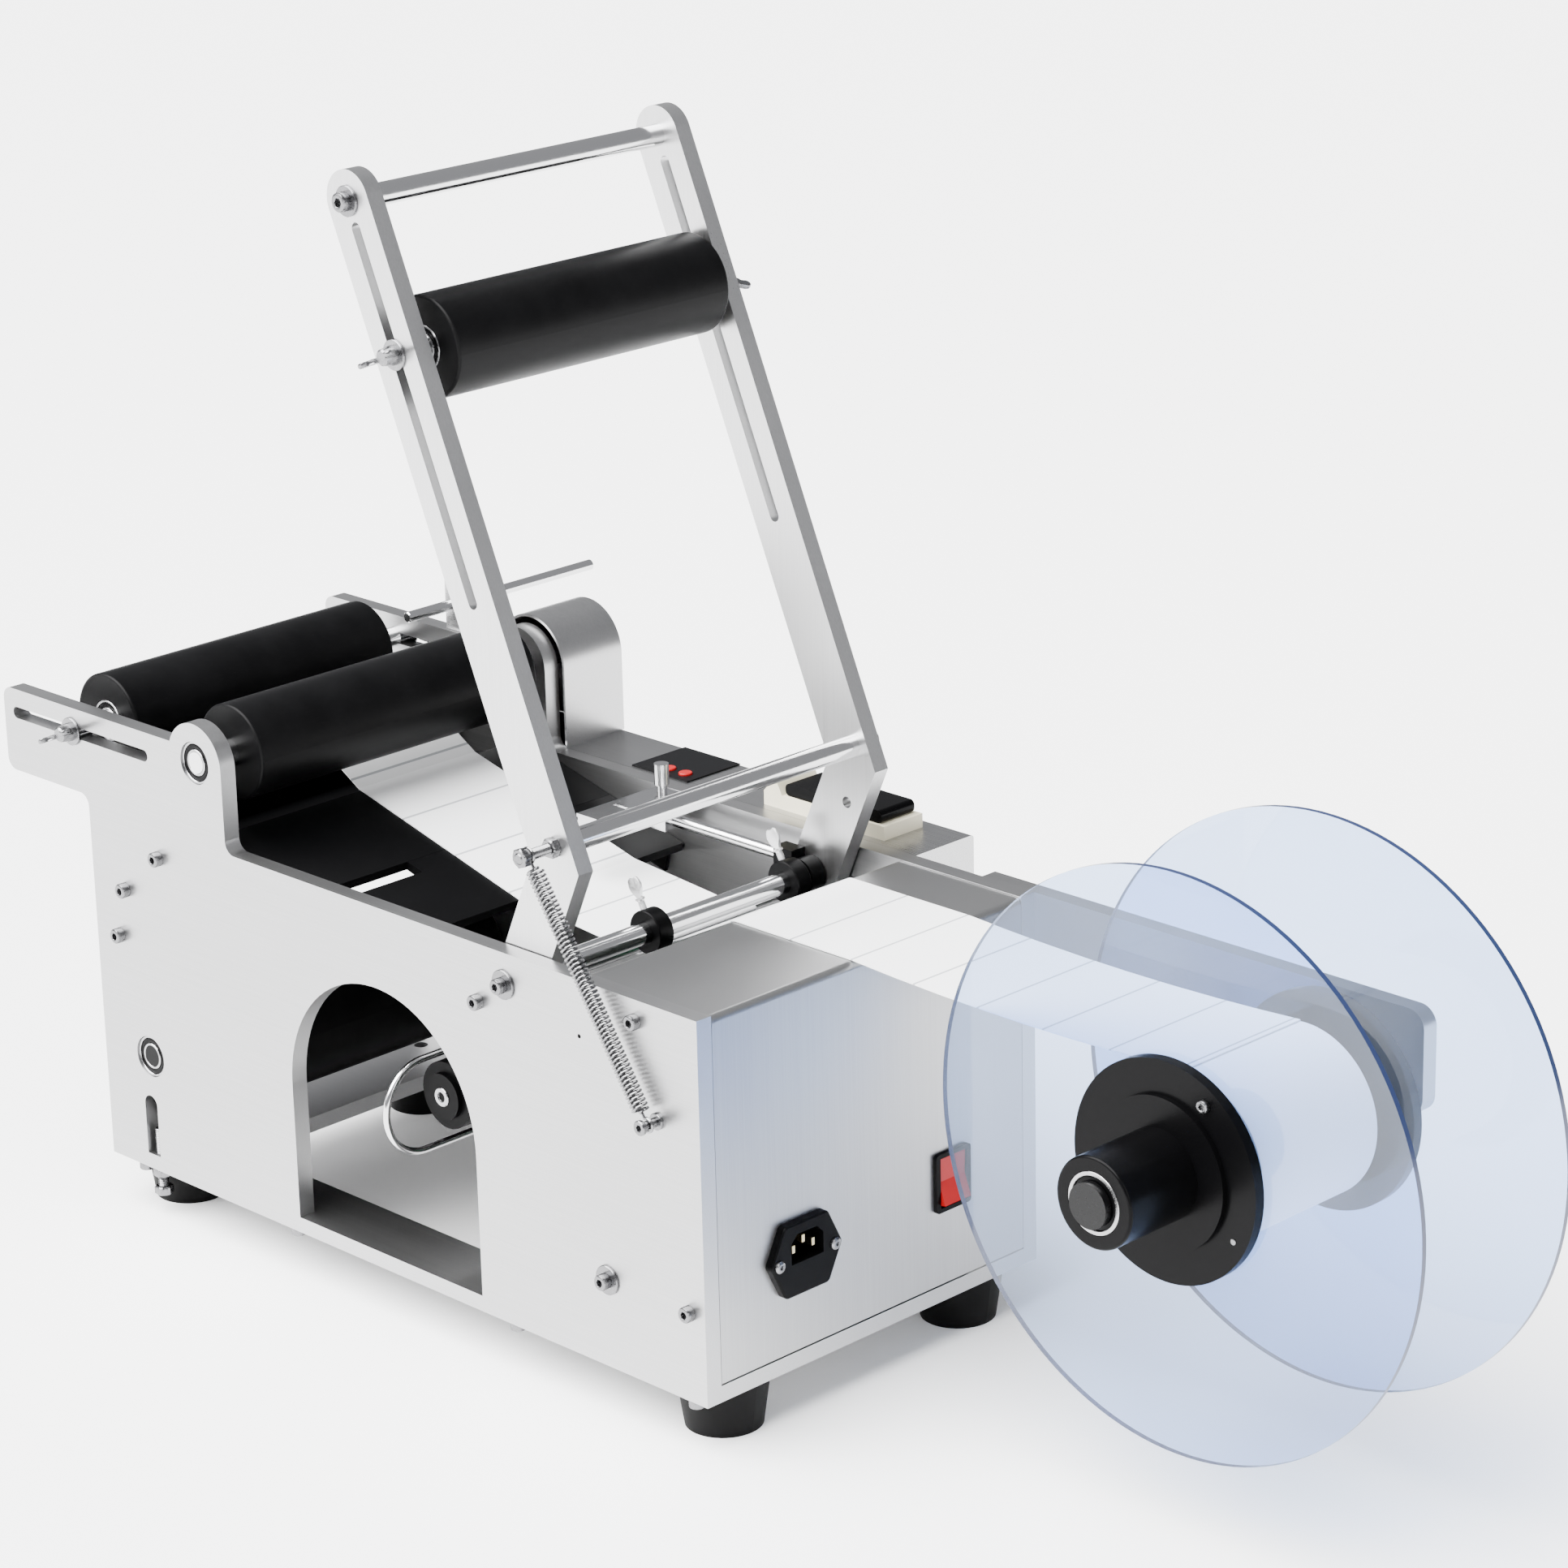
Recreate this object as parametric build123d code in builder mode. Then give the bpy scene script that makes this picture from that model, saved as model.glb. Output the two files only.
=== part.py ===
from build123d import *
import math
import os

# A bench machine that rolls labels onto round bottles.
# X runs along the machine towards the label reel, Y runs away from the operator's side
# and Z is up. The origin is under the middle of the machine, on the surface it stands on.
# Places on the side plates are measured left from the plates' right end and up from the
# top of the base plate.

os.makedirs("parts", exist_ok=True)

# Frame
plate_length = 487.0
plate_height = 200.0
plate_thickness = 10.0
inner_width = 225.0
base_thickness = 9.0
foot_height = 27.5
foot_top_radius = 24.5
foot_bottom_radius = 20.5
foot_inset_x = 25.0
foot_inset_y = 35.0
foot_screw_radius = 4.0
arch_radius = 75.0
arch_back = 244.8
arch_centre_up = 79.0
ear_reach = 560.4
ear_top_up = 254.7
ear_bottom_up = 206.0
ear_slot_up = 240.9
ear_slot_width = 6.7
ear_slot_near_back = 430.0
ear_slot_far_back = 552.0
corner_fillet = 7.0
knuckle_radius = 22.4
notch_width = 11.0
notch_height = 36.0
cutout_left_back = 424.0
cutout_right_back = 150.0
cutout_margin = 39.0
cutout_corner = 6.0

# Rollers
roller_radius = 27.0
axle_radius = 6.0
bearing_radius = 12.0
bearing_width = 8.0
bearing_groove = 0.8
drive_back = 388.4
drive_up = 246.5
drive_roller_start = 25.0
drive_roller_length = 200.0
drive_core_radius = 8.0
front_back = 498.0
front_up = 240.9
front_roller_start = 25.0
front_roller_length = 187.0
press_roller_start = 30.0
press_roller_length = 188.5
press_down_slot = 80.2
traction_back = 446.0
traction_up = 60.3
traction_radius = 44.0
traction_end_gap = 6.0
rewind_radius = 19.0
rewind_start = 45.0
rewind_flange_radius = 34.0
rewind_flange_thickness = 6.0
rewind_flange_gap = 15.0
rewind_boss_radius = 13.0
clip_half_width = 26.0
clip_wire_radius = 2.0
clip_bend_start = 29.0

# Swinging arms
arm_thickness = 10.0
arm_width = 32.0
arm_side_gap = 1.0
pivot_back = 142.0
pivot_up = 182.7
pivot_radius = 6.0
knee_back = 111.6
knee_up = 250.2
arm_top_back = 247.6
arm_top_up = 571.6
arm_slot_start = 11.3
arm_slot_end = 213.6
arm_slot_width = 6.5
arm_tail_length = 30.0
lower_bar_back = 111.0
lower_bar_up = 261.5
arm_bar_radius = 6.0
leg_hole_back = 115.6
leg_hole_up = 228.6
leg_hole_radius = 3.2
guide_bar_back = 162.2
guide_bar_up = 168.3
guide_bar_radius = 5.0
tie_rod_back = 71.0
tie_rod_up = 40.0
tie_rod_radius = 6.0
set_ring_radius = 10.0
set_ring_width = 6.5
far_ring_width = 10.0

# Return spring
spring_radius = 4.75
spring_wire_radius = 0.9
spring_stand_off = 7.0
spring_neck = 13.0
anchor_back = 30.0
anchor_up = 139.0
stud_radius = 3.0
anchor_radius = 2.5

# Label guides
collar_radius = 12.0
collar_width = 10.0
near_collar_start = 99.0
far_collar_start = 201.0
thumb_screw_radius = 2.0
thumb_screw_length = 12.0
thumb_tab_width = 9.0
thumb_tab_height = 12.0
thumb_tab_thickness = 1.6
thumb_lean = 28.0

# Peel plate and cross plate
peel_left_back = 385.0
peel_left_up = 203.0
peel_right_back = 255.0
peel_right_up = 170.0
peel_thickness = 5.0
peel_flange_depth = 22.0
peel_flange_thickness = 3.0
cross_thickness = 8.0
cross_foot_back = 470.1
cross_foot_up = 111.0
cross_bend_back = 453.0
cross_bend_up = 176.0
cross_lip_back = 396.0
cross_lip_up = 189.0

# End cover
cover_thickness = 1.5
cover_top_length = 90.0
cover_foot_gap = 1.0
cover_top_drop = 0.7
cover_bend_radius = 3.0
cover_lip = 14.0
cover_side_gap = 0.3

# Power inlet and rocker switch
inlet_from_near = 68.0
inlet_up = 54.0
inlet_screw_spacing = 40.0
inlet_half_width = 25.5
inlet_body_width = 28.0
inlet_body_height = 38.0
inlet_flange_half_width = 15.5
inlet_flange_half_height = 20.0
inlet_flange_thickness = 5.0
inlet_body_depth = 22.0
inlet_screw_radius = 1.7
inlet_screw_head = 3.4
socket_width = 23.0
socket_height = 16.0
socket_rise = 6.0
socket_depth = 15.0
socket_bevel = 4.5
pin_reach = 12.0
switch_from_near = 179.0
switch_up = 59.5
switch_width = 26.0
switch_height = 33.0
switch_rim = 3.0
switch_proud = 2.5
switch_depth = 18.0
rocker_tilt = 9.0
rocker_half_height = 12.8

# Label reel
reel_offset = 221.3
reel_up = 155.3
disc_radius = 149.0
disc_thickness = 3.0
near_disc_start = 98.0
far_disc_start = 207.5
hub_flange_radius = 56.5
hub_flange_thickness = 6.0
hub_ring_radius = 39.0
hub_ring_height = 3.0
hub_nose_radius = 23.4
hub_nose_start = 42.0
hub_tube_radius = 20.0
hub_bore_radius = 9.0
hub_bearing_radius = 16.0
hub_bearing_width = 10.0
spindle_radius = 6.0
spindle_cap_radius = 11.5
spindle_cap_height = 4.0
roll_radius = 44.7
roll_start = 111.0
roll_length = 86.0
reel_arm_left_back = 37.0
reel_arm_reach = 256.0
reel_arm_top_up = 200.0
reel_arm_height = 56.0
reel_arm_thickness = 10.0
reel_arm_corner = 10.0
spindle_shoulder_radius = 10.0

# Drive side
box_depth = 45.0
box_left_back = 478.0
box_right_back = 85.0
box_wall = 1.5
box_bottom_up = 12.0
belt_cover_radius = 27.5
pulley_start = 33.0
liner_pulley_start = 24.0
pulley_width = 8.0
pulley_flange = 2.5
drive_pulley_radius = 13.5
traction_pulley_radius = 22.0
motor_pulley_radius = 10.0
motor_shaft_radius = 4.0
belt_thickness = 1.6
belt_gap = 0.3
rewind_pulley_radius = 13.0
motor_back = 366.0
motor_up = 95.0
motor_size = 50.0
motor_length = 22.0
motor_mount_gap = 0.2
button_radius = 4.0
button_back = 287.5
button_spacing = 13.2
button_from_far = 11.0
button_proud = 2.0
overlay_left_back = 309.0
overlay_length = 45.0
overlay_thickness = 0.8
counter_left_back = 206.0
counter_length = 92.0
counter_width = 30.0
counter_height = 8.0

# Bottle stop
stop_back = 440.0
stop_up = 273.0
stop_rod_radius = 4.5
stop_rod_inner = 197.0
stop_rod_reach = 340.0
stop_block_length = 26.0
stop_block_width = 20.0
stop_block_height = 34.0

# Label sensor
rail_radius = 3.5
rail_up = 190.0
rail_seat = 10.0
rail_left_back = 270.0
sensor_back = 254.0
sensor_rise = 13.0
sensor_plate_width = 16.0
sensor_plate_thickness = 2.0
sensor_plate_reach = 62.0
sensor_block_length = 14.0
sensor_block_width = 10.0
knob_radius = 4.2
knob_height = 12.0

# Fasteners
screw_radius = 2.5
screw_head_radius = 4.25
screw_head_height = 5.0
screw_grip = 8.0
socket_size = 2.2
washer_radius = 8.0
washer_thickness = 1.5
wing_stem_radius = 2.9
wing_hub_radius = 5.2
wing_hub_height = 8.0
wing_span = 28.0
wing_height = 14.0
wing_thickness = 2.4
wing_grip = 10.0
wing_turn = 25.0
adjuster_radius = 3.0
adjuster_length = 40.0
adjuster_drop = 16.0
nut_radius = 5.5
nut_height = 5.0

# Clearances
running_fit = 0.05
seat_fit = 0.03
hole_fit = 0.2
face_gap = 0.2
side_gap = 0.3

# Label web
web_thickness = 0.6
tongue_length = 15.5
tongue_rise = 9.0
web_sag = 3.5

# Datum faces
outer_width = inner_width + 2 * plate_thickness
wing_reach = washer_thickness + wing_height
end_x = (ear_reach - reel_offset - disc_radius) / 2
near_face = (wing_reach - stop_rod_reach) / 2
near_wall = near_face + plate_thickness
far_wall = near_wall + inner_width
far_face = far_wall + plate_thickness
base_top = foot_height + base_thickness
plate_top = base_top + plate_height
near_arm_y = near_wall + arm_side_gap
far_arm_y = far_wall - arm_side_gap - arm_thickness
arm_inner_near = near_arm_y + arm_thickness
arm_inner_far = far_arm_y
pulley_y = far_face + pulley_start
liner_pulley_y = far_face + liner_pulley_start
standing = (Align.CENTER, Align.CENTER, Align.MIN)
hanging = (Align.CENTER, Align.CENTER, Align.MAX)


def side(back, up):
    """A place on the side plates: left of their right end, above the base plate."""
    return (end_x - back, base_top + up)


def facing(y):
    """Sketch plane across the machine at y, seen from the operator's side."""
    return Plane.XZ.offset(-y)


def facing_at(place, y, turn=0.0):
    """The same plane with its origin at a place on the side plates, turned there."""
    angle = math.radians(turn)
    return Plane(origin=(place[0], y, place[1]), x_dir=(math.cos(angle), 0, math.sin(angle)), z_dir=(0, -1, 0))


def end_plane(proud, y, z):
    """Sketch plane on the right end, with its origin at y and z."""
    return Plane(origin=(end_x + proud, y, z), x_dir=(0, 1, 0), z_dir=(1, 0, 0))


def bar(place, radius, y_from, y_to, mode=Mode.ADD):
    """Round bar or bore along Y, in the piece that is being made."""
    with Locations(Location((place[0], y_from, place[1]), (-90, 0, 0))):
        Cylinder(radius, y_to - y_from, align=standing, mode=mode)


def block(x, y, z, mode=Mode.ADD):
    """Rectangular block between two x, two y and two z."""
    with Locations((x[0], y[0], z[0])):
        Box(x[1] - x[0], y[1] - y[0], z[1] - z[0], align=(Align.MIN, Align.MIN, Align.MIN), mode=mode)


def save(piece, name):
    """Label a finished piece and write it."""
    piece.label = name
    export_step(piece, f"parts/{name}.step")


def towards_y(place, y, turn=0):
    """Location at y whose local Z points away from the operator."""
    return Location((place[0], y, place[1]), (-90, 0, 0)) * Location((0, 0, 0), (0, 0, turn))


def towards_operator(place, y, turn=0):
    """Location at y whose local Z points to the operator."""
    return Location((place[0], y, place[1]), (90, 0, 0)) * Location((0, 0, 0), (0, 0, turn))


def cap_screw(radius, grip, washer=0.0):
    """Socket head cap screw: seat at z = 0, head above it and shank below."""
    head_radius = radius * screw_head_radius / screw_radius
    with BuildPart() as screw:
        Cylinder(head_radius, screw_head_height + washer, align=standing)
        if washer:
            Cylinder(washer_radius, washer, align=standing)
        with BuildSketch(Plane.XY.offset(screw_head_height + washer)):
            RegularPolygon(socket_size, 6)
        extrude(amount=-screw_head_height / 2, mode=Mode.SUBTRACT)
        Cylinder(radius, grip, align=hanging)
    return screw.part


def wing_screw():
    """Wing screw with its washer: seat at z = 0, wings above it and stem below."""
    hub_top = washer_thickness + wing_hub_height
    with BuildPart() as screw:
        Cylinder(washer_radius, washer_thickness, align=standing)
        with Locations((0, 0, washer_thickness)):
            Cone(wing_hub_radius, wing_hub_radius * 0.8, wing_hub_height, align=standing)
        with BuildSketch(Plane.XZ):
            with BuildLine():
                inner = (wing_hub_radius * 0.6, washer_thickness + wing_hub_height * 0.3)
                tip = (wing_span / 2, washer_thickness + wing_height)
                crown = (wing_span / 2 - 5.0, washer_thickness + wing_height)
                notch = (wing_hub_radius * 0.6, hub_top)
                outward = ThreePointArc(inner, (wing_span / 2 - 2.5, hub_top - 2.0), tip)
                Line(outward @ 1, crown)
                ThreePointArc(crown, (wing_hub_radius + 2.0, hub_top + 1.0), notch)
                Line(notch, inner)
            make_face()
        extrude(amount=wing_thickness / 2, both=True)
        mirror(about=Plane.YZ)
        Cylinder(wing_stem_radius, plate_thickness + wing_grip, align=hanging)
    return screw.part


def ring_bearing(outer, inner, width):
    """Ball bearing with recessed shields, standing on z = 0."""
    rim = (outer - inner) / 4
    with BuildPart() as bearing:
        with BuildSketch(Plane.XZ):
            with BuildLine():
                Polyline(
                    (inner, 0), (inner + rim, 0), (inner + rim, bearing_groove),
                    (outer - rim, bearing_groove), (outer - rim, 0), (outer, 0),
                    (outer, width), (outer - rim, width), (outer - rim, width - bearing_groove),
                    (inner + rim, width - bearing_groove), (inner + rim, width), (inner, width),
                    close=True,
                )
            make_face()
        revolve(axis=Axis.Z)
    return bearing.part


drive_at = side(drive_back, drive_up)
front_at = side(front_back, front_up)
traction_at = side(traction_back, traction_up)
rewind_at = side(arch_back, arch_centre_up)
pivot_at = side(pivot_back, pivot_up)
guide_bar_at = side(guide_bar_back, guide_bar_up)
tie_rod_at = side(tie_rod_back, tie_rod_up)
motor_at = side(motor_back, motor_up)
anchor_at = side(anchor_back, anchor_up)
reel_at = (end_x + reel_offset, base_top + reel_up)

# Fastener places on both side plates: pieces that they hold
cross_screws = [side(465.5, 128.5), side(458.0, 157.0), side(426.0, 183.0)]
cover_screws = [side(44.1, 188.5), side(10.7, 40.5)]
plate_screws = cross_screws + cover_screws + [guide_bar_at]
washer_screws = [pivot_at, tie_rod_at]
base_screw_backs = [463.0, 328.0, 148.0, 13.0]
spare_hole_at = side(86.0, 169.3)
reel_arm_screws = [side(22.0, 185.0), side(22.0, 160.0)]


def plate_outline(with_arch):
    """Side plate seen from the operator: ear, bearing knuckle, notch and, in one, an arch."""
    right = end_x
    left = end_x - plate_length
    knuckle_edge = drive_at[0] + knuckle_radius
    ear_top = base_top + ear_top_up
    ear_bottom = base_top + ear_bottom_up
    tip = end_x - ear_reach
    rise = ear_top - drive_at[1]
    knuckle_left = drive_at[0] - math.sqrt(knuckle_radius ** 2 - rise ** 2)
    with BuildSketch() as outline:
        with BuildLine():
            first = Polyline((right, base_top), (right, plate_top), (knuckle_edge, plate_top), (knuckle_edge, drive_at[1]))
            over = ThreePointArc(first @ 1, (drive_at[0], drive_at[1] + knuckle_radius), (knuckle_left, ear_top))
            Polyline(over @ 1, (tip, ear_top), (tip, ear_bottom), (left, ear_bottom), (left, base_top), (right, base_top))
        make_face()
        rounded = [(tip, ear_top), (tip, ear_bottom), (left, ear_bottom), (knuckle_edge, plate_top)]
        corners = [v for v in outline.vertices() if any(math.dist((v.X, v.Y), c) < 0.01 for c in rounded)]
        fillet(corners, corner_fillet)
        slot_length = ear_slot_far_back - ear_slot_near_back
        slot_middle = end_x - (ear_slot_far_back + ear_slot_near_back) / 2
        with Locations((slot_middle, base_top + ear_slot_up)):
            SlotOverall(slot_length, ear_slot_width, mode=Mode.SUBTRACT)
        notch_top = notch_height - notch_width / 2
        with Locations((traction_at[0] - 2.5, base_top)):
            Rectangle(notch_width, notch_top, align=(Align.CENTER, Align.MIN), mode=Mode.SUBTRACT)
        with Locations((traction_at[0] - 2.5, base_top + notch_top)):
            Circle(notch_width / 2, mode=Mode.SUBTRACT)
        with Locations(drive_at, traction_at):
            Circle(bearing_radius + seat_fit, mode=Mode.SUBTRACT)
        with Locations(*plate_screws, *washer_screws):
            Circle(screw_radius + hole_fit, mode=Mode.SUBTRACT)
        if with_arch:
            with Locations((end_x - arch_back, base_top)):
                Rectangle(2 * arch_radius, arch_centre_up, align=(Align.CENTER, Align.MIN), mode=Mode.SUBTRACT)
            with Locations((end_x - arch_back, base_top + arch_centre_up)):
                Circle(arch_radius, mode=Mode.SUBTRACT)
            with Locations(anchor_at):
                Circle(anchor_radius + hole_fit, mode=Mode.SUBTRACT)
            with Locations(spare_hole_at):
                Circle(1.2, mode=Mode.SUBTRACT)
        else:
            with Locations(rewind_at):
                Circle(bearing_radius + seat_fit, mode=Mode.SUBTRACT)
            with Locations(*reel_arm_screws):
                Circle(screw_radius + hole_fit, mode=Mode.SUBTRACT)
    return outline.sketch


base_screw_places = []
for back in base_screw_backs:
    for y in (near_face + plate_thickness / 2, far_face - plate_thickness / 2):
        base_screw_places.append((end_x - back, y))
adjuster_x = traction_at[0] - 2.5
adjuster_places = [(adjuster_x, near_face + plate_thickness / 2), (adjuster_x, far_face - plate_thickness / 2)]
foot_places = []
for x in (end_x - foot_inset_x, end_x - plate_length + foot_inset_x):
    for y in (near_face + foot_inset_y, far_face - foot_inset_y):
        foot_places.append((x, y))

# Base plate with its cut-out for the waste liner
with BuildPart() as base_plate:
    with BuildSketch(Plane.XY.offset(foot_height)):
        with Locations((end_x - plate_length / 2, (near_face + far_face) / 2)):
            Rectangle(plate_length, outer_width)
        with Locations((end_x - (cutout_left_back + cutout_right_back) / 2, (near_face + far_face) / 2)):
            RectangleRounded(
                cutout_left_back - cutout_right_back, outer_width - 2 * cutout_margin, cutout_corner,
                mode=Mode.SUBTRACT,
            )
        with Locations(*base_screw_places):
            Circle(screw_radius + hole_fit, mode=Mode.SUBTRACT)
        with Locations(*adjuster_places):
            Circle(adjuster_radius + hole_fit, mode=Mode.SUBTRACT)
        with Locations(*foot_places):
            Circle(foot_screw_radius + hole_fit, mode=Mode.SUBTRACT)
    extrude(amount=base_thickness)
save(base_plate.part, "base_plate")

# Side plates, screwed to the base from below
for name, y, with_arch in (("side_plate_near", near_face, True), ("side_plate_far", far_wall, False)):
    outline = plate_outline(with_arch)
    with BuildPart() as side_plate:
        with BuildSketch(facing(y)):
            add(outline)
        extrude(amount=-plate_thickness)
        with Locations(*[(end_x - back, y + plate_thickness / 2, base_top) for back in base_screw_backs]):
            Cylinder(screw_radius + hole_fit, screw_grip + face_gap, align=standing, mode=Mode.SUBTRACT)
    save(side_plate.part, name)

# Rubber feet, hollow underneath around their screw
with BuildPart() as feet:
    with Locations(*[(x, y, 0) for x, y in foot_places]):
        Cone(foot_bottom_radius, foot_top_radius, foot_height, align=standing)
        Cylinder(foot_screw_radius * 2, foot_height / 3, align=standing, mode=Mode.SUBTRACT)
        Cylinder(foot_screw_radius + hole_fit, foot_height, align=standing, mode=Mode.SUBTRACT)
save(feet.part, "feet")

# End cover: one sheet bent over the power supply, with side flanges
cover_near = near_wall + cover_side_gap
cover_far = far_wall - cover_side_gap
cover_top = plate_top - cover_top_drop
cover_left = end_x - cover_top_length
inlet_y = near_face + inlet_from_near
inlet_screw_ys = (inlet_y - inlet_screw_spacing / 2, inlet_y + inlet_screw_spacing / 2)
inlet_z = base_top + inlet_up
switch_y = near_face + switch_from_near
switch_z = base_top + switch_up
with BuildPart() as end_cover:
    with BuildSketch(facing(cover_near)):
        with BuildLine():
            middle = cover_thickness / 2
            FilletPolyline(
                (end_x - middle, base_top + cover_foot_gap),
                (end_x - middle, cover_top - middle),
                (cover_left + middle, cover_top - middle),
                (cover_left + middle, cover_top - cover_lip),
                radius=cover_bend_radius,
            )
        trace(line_width=cover_thickness)
    extrude(amount=cover_near - cover_far)
    inner_top = cover_top - cover_thickness
    for y in (cover_near, cover_far - cover_thickness):
        block(
            (end_x - cover_thickness - cover_lip, end_x - cover_thickness),
            (y, y + cover_thickness),
            (base_top + 6.0, inner_top - cover_bend_radius),
        )
        block(
            (cover_left + cover_thickness + 1.0, end_x - cover_bend_radius - 1.0),
            (y, y + cover_thickness),
            (inner_top - cover_lip, inner_top),
        )
    for y in inlet_screw_ys:
        with Locations(Location((end_x, y, inlet_z), (0, 90, 0))):
            Cylinder(inlet_screw_radius + hole_fit, 4 * cover_thickness, mode=Mode.SUBTRACT)
    for place in cover_screws:
        bar(place, screw_radius + hole_fit, cover_near - 1, cover_near + 3, mode=Mode.SUBTRACT)
        bar(place, screw_radius + hole_fit, cover_far - 3, cover_far + 1, mode=Mode.SUBTRACT)
    block(
        (end_x - 5, end_x + 5),
        (inlet_y - inlet_body_width / 2 - side_gap, inlet_y + inlet_body_width / 2 + side_gap),
        (inlet_z - inlet_body_height / 2 - side_gap, inlet_z + inlet_body_height / 2 + side_gap),
        mode=Mode.SUBTRACT,
    )
    block(
        (end_x - 5, end_x + 5),
        (switch_y - switch_width / 2 + switch_rim / 2 - side_gap, switch_y + switch_width / 2 - switch_rim / 2 + side_gap),
        (switch_z - switch_height / 2 + switch_rim / 2 - side_gap, switch_z + switch_height / 2 - switch_rim / 2 + side_gap),
        mode=Mode.SUBTRACT,
    )
save(end_cover.part, "end_cover")

# Power inlet with its recessed socket and fuse drawer
with BuildPart() as power_inlet:
    with BuildSketch(end_plane(0, inlet_y, inlet_z)):
        with BuildLine():
            Polyline(
                (-inlet_half_width, 0), (-inlet_flange_half_width, inlet_flange_half_height),
                (inlet_flange_half_width, inlet_flange_half_height), (inlet_half_width, 0),
                (inlet_flange_half_width, -inlet_flange_half_height),
                (-inlet_flange_half_width, -inlet_flange_half_height), close=True,
            )
        make_face()
    extrude(amount=inlet_flange_thickness)
    fillet(power_inlet.edges().filter_by(Axis.X), 3.5)
    fillet(power_inlet.faces().sort_by(Axis.X)[-1].edges(), 1.2)
    block(
        (end_x - inlet_body_depth, end_x),
        (inlet_y - inlet_body_width / 2, inlet_y + inlet_body_width / 2),
        (inlet_z - inlet_body_height / 2, inlet_z + inlet_body_height / 2),
    )
    with BuildSketch(end_plane(inlet_flange_thickness, inlet_y, inlet_z + socket_rise)):
        with BuildLine():
            Polyline(
                (-socket_width / 2, -socket_height / 2),
                (-socket_width / 2, socket_height / 2 - socket_bevel),
                (-socket_width / 2 + socket_bevel, socket_height / 2),
                (socket_width / 2 - socket_bevel, socket_height / 2),
                (socket_width / 2, socket_height / 2 - socket_bevel),
                (socket_width / 2, -socket_height / 2), close=True,
            )
        make_face()
    extrude(amount=-socket_depth, mode=Mode.SUBTRACT)
    for y in inlet_screw_ys:
        with Locations(Location((end_x, y, inlet_z), (0, 90, 0))):
            Cylinder(inlet_screw_radius + seat_fit, 4 * inlet_flange_thickness, mode=Mode.SUBTRACT)
save(power_inlet.part, "power_inlet")

socket_floor = end_x + inlet_flange_thickness - socket_depth
with BuildPart() as inlet_pins:
    with Locations(*[(socket_floor, inlet_y + dy, inlet_z + socket_rise + dz) for dy, dz in ((-7, -1.5), (7, -1.5), (0, 2.5))]):
        Box(pin_reach, 2.0, 4.0, align=(Align.MIN, Align.CENTER, Align.CENTER))
save(inlet_pins.part, "inlet_pins")

# Rocker switch
with BuildPart() as rocker_bezel:
    block(
        (end_x, end_x + switch_proud),
        (switch_y - switch_width / 2, switch_y + switch_width / 2),
        (switch_z - switch_height / 2, switch_z + switch_height / 2),
    )
    fillet(rocker_bezel.edges().filter_by(Axis.X), 2.0)
    block(
        (end_x - switch_depth, end_x),
        (switch_y - switch_width / 2 + switch_rim / 2, switch_y + switch_width / 2 - switch_rim / 2),
        (switch_z - switch_height / 2 + switch_rim / 2, switch_z + switch_height / 2 - switch_rim / 2),
    )
    block(
        (end_x - switch_depth + switch_rim, end_x + switch_proud),
        (switch_y - switch_width / 2 + switch_rim, switch_y + switch_width / 2 - switch_rim),
        (switch_z - switch_height / 2 + switch_rim - 0.6, switch_z + switch_height / 2 - switch_rim + 0.6),
        mode=Mode.SUBTRACT,
    )
save(rocker_bezel.part, "rocker_bezel")

rocker_pivot_x = end_x - 2.0
rocker_half_width = switch_width / 2 - switch_rim - side_gap
with BuildPart() as rocker:
    with BuildSketch(facing_at((rocker_pivot_x, switch_z), switch_y - rocker_half_width, rocker_tilt)):
        with BuildLine():
            Polyline(
                (3.0, 0), (5.5, rocker_half_height), (0, rocker_half_height),
                (-6.0, 4.0), (-6.0, -4.0), (0, -rocker_half_height), (5.5, -rocker_half_height), close=True,
            )
        make_face()
    extrude(amount=-2 * rocker_half_width)
save(rocker.part, "rocker")

# Power supply and control board behind the end cover
with BuildPart() as power_supply:
    block((end_x - 86, end_x - 8), (near_wall + 40, near_wall + 190), (base_top, base_top + 30))
    chamfer(power_supply.edges().filter_by(Axis.Y).group_by(Axis.Z)[-1], 1.5)
    with Locations((end_x - 47, near_wall + 190, base_top + 20)):
        Box(60, 14, 22, mode=Mode.SUBTRACT)
save(power_supply.part, "power_supply")

with BuildPart() as control_board:
    block((end_x - 82, end_x - 24), (far_wall - 10, far_wall - 8.4), (base_top + 60, base_top + 160))
    for x, z in ((end_x - 77, base_top + 65), (end_x - 29, base_top + 65), (end_x - 77, base_top + 155), (end_x - 29, base_top + 155)):
        bar((x, z), 3.0, far_wall - 9, far_wall)
    block((end_x - 70, end_x - 40), (far_wall - 22, far_wall - 10), (base_top + 75, base_top + 100))
    block((end_x - 74, end_x - 52), (far_wall - 18, far_wall - 10), (base_top + 112, base_top + 146))
save(control_board.part, "control_board")

# Cross plate: stiffens the left end and carries the return path of the liner
near_seat = near_wall + face_gap
far_seat = far_wall - face_gap
with BuildPart() as cross_plate:
    with BuildSketch(facing(near_seat)):
        with BuildLine():
            FilletPolyline(
                side(cross_foot_back, cross_foot_up),
                side(cross_bend_back, cross_bend_up),
                side(cross_lip_back, cross_lip_up),
                radius=cross_thickness,
            )
        trace(line_width=cross_thickness)
    extrude(amount=near_seat - far_seat)
    for place in cross_screws:
        bar(place, screw_radius + hole_fit, near_seat - 1, near_seat + screw_grip, mode=Mode.SUBTRACT)
        bar(place, screw_radius + hole_fit, far_seat - screw_grip, far_seat + 1, mode=Mode.SUBTRACT)
save(cross_plate.part, "cross_plate")

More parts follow.
